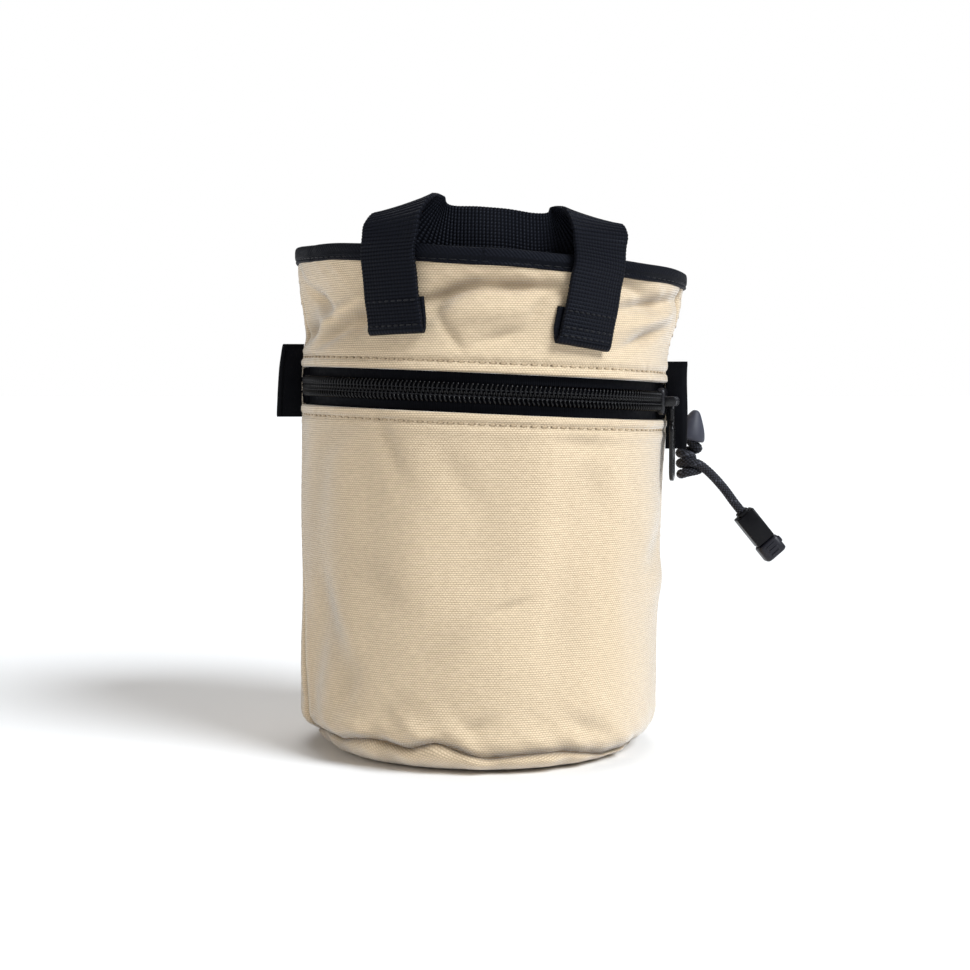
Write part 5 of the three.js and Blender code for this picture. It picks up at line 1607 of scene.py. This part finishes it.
# %% The cord eyelet
EYELET_RADIUS, EYELET_THICKNESS, CORD_CLEARANCE = 4.0, 1.2, 0.35
bore = CORD_DIAMETER / 2 + CORD_CLEARANCE
ring_a = np.linspace(0, 2 * math.pi, 64, endpoint=False)[:, None]
lip_a = np.linspace(0, 2 * math.pi, 20, endpoint=False)[None, :]
ring_r = (bore + EYELET_RADIUS) / 2 + (EYELET_RADIUS - bore) / 2 * np.cos(lip_a) + 0 * ring_a
ring_h = EYELET_THICKNESS / 2 * (1 + np.sign(np.sin(lip_a)) * np.abs(np.sin(lip_a)) ** 0.7) + 0 * ring_a
ring = np.stack([ring_r * np.cos(ring_a), ring_r * np.sin(ring_a), ring_h], -1).reshape(-1, 3)
ring = placed(ring, exit_point + outward(EXIT_DEG) * SEAT_GAP, tangent(EXIT_DEG), up, outward(EXIT_DEG))
piece("pressed_eyelet", ring, [grid_faces(64, 20, close_rows=True, close_columns=True)], eyelet_plastic,
      stands_for=["cord_eyelet"])

# %% [markdown]
# ## Floor and light
#
# The bag stands on a very wide pale floor. Three soft suns light it: a strong one from the upper
# right models the round wall from light to shade, a weak one on the left opens the shadows, and
# one from behind and above draws the rim. Suns light near and far floor alike, so the floor runs
# out into the pale room with no horizon, from whatever side the bag is looked at. The room's own
# light is kept low, because light from all sides at once would wash out the folds.

# %% The pale floor and the suns
FLOOR_REACH = 40.0
mesh = bpy.data.meshes.new("pale_floor")
corners = FLOOR_REACH * np.array([(-1, -1, 0), (1, -1, 0), (1, 1, 0), (-1, 1, 0)]) - (0, 0, 0.00005)
mesh.from_pydata(corners.tolist(), [], [(0, 1, 2, 3)])
mesh.update()
paper, tree, shader = new_finish("pale_paper", (0.9, 0.9, 0.9), 0.9)
joined_to(tree, shader, "Base Color",
          shades(tree, body_cloud(tree, 400.0), (0.93, 0.93, 0.93), (0.96, 0.96, 0.96)))
mesh.materials.append(paper)
floor = bpy.data.objects.new("pale_floor", mesh)
bpy.context.scene.collection.objects.link(floor)
floor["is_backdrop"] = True


def soft_sun(name, direction, width_deg, strength, colour=(1.0, 1.0, 1.0)):
    """A sun that shines from a direction; its width decides how soft its shadows are."""
    lamp = bpy.data.lights.new(name, "SUN")
    lamp.energy, lamp.color, lamp.angle = strength, colour, math.radians(width_deg)
    made = bpy.data.objects.new(name, lamp)
    made.location = direction
    made.rotation_euler = Vector(direction).to_track_quat("Z", "Y").to_euler()
    bpy.context.scene.collection.objects.link(made)
    return made


soft_sun("key_sun", (0.95, -0.7, 1.0), 30.0, 3.6, (0.91, 0.955, 1.0))
soft_sun("fill_sun", (-1.3, -0.5, 0.6), 30.0, 0.45, (1.0, 0.95, 0.88))
soft_sun("back_sun", (-0.1, 0.6, 1.5), 40.0, 0.9)
ROOM_LIGHT, ROOM_SEEN = 0.22, 1.0
world = bpy.data.worlds.new("pale_room")
world.use_nodes = True
room = world.node_tree
room.nodes["Background"].inputs["Color"].default_value = (1.0, 1.0, 1.0, 1.0)
seen = node(room, "ShaderNodeLightPath").outputs["Is Camera Ray"]
joined_to(room, room.nodes["Background"], "Strength", ranged(room, seen, 0.0, 1.0, ROOM_LIGHT, ROOM_SEEN))
bpy.context.scene.world = world
bpy.context.scene.view_settings.view_transform = "Standard"
print("lamps set")

# %% [markdown]
# ## Sizes
#
# The dressed model must keep the solid model's size. The two boxes are printed side by side, so
# they can be compared.

# %% Print the two boxes side by side
dressed_box = [[float(x) for x in corner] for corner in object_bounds()]
for axis in range(3):
    solid = (frame_box[1][axis] - frame_box[0][axis]) / MM
    dressed = (dressed_box[1][axis] - dressed_box[0][axis]) / MM
    print("xyz"[axis], round(solid, 1), "->", round(dressed, 1), "mm")
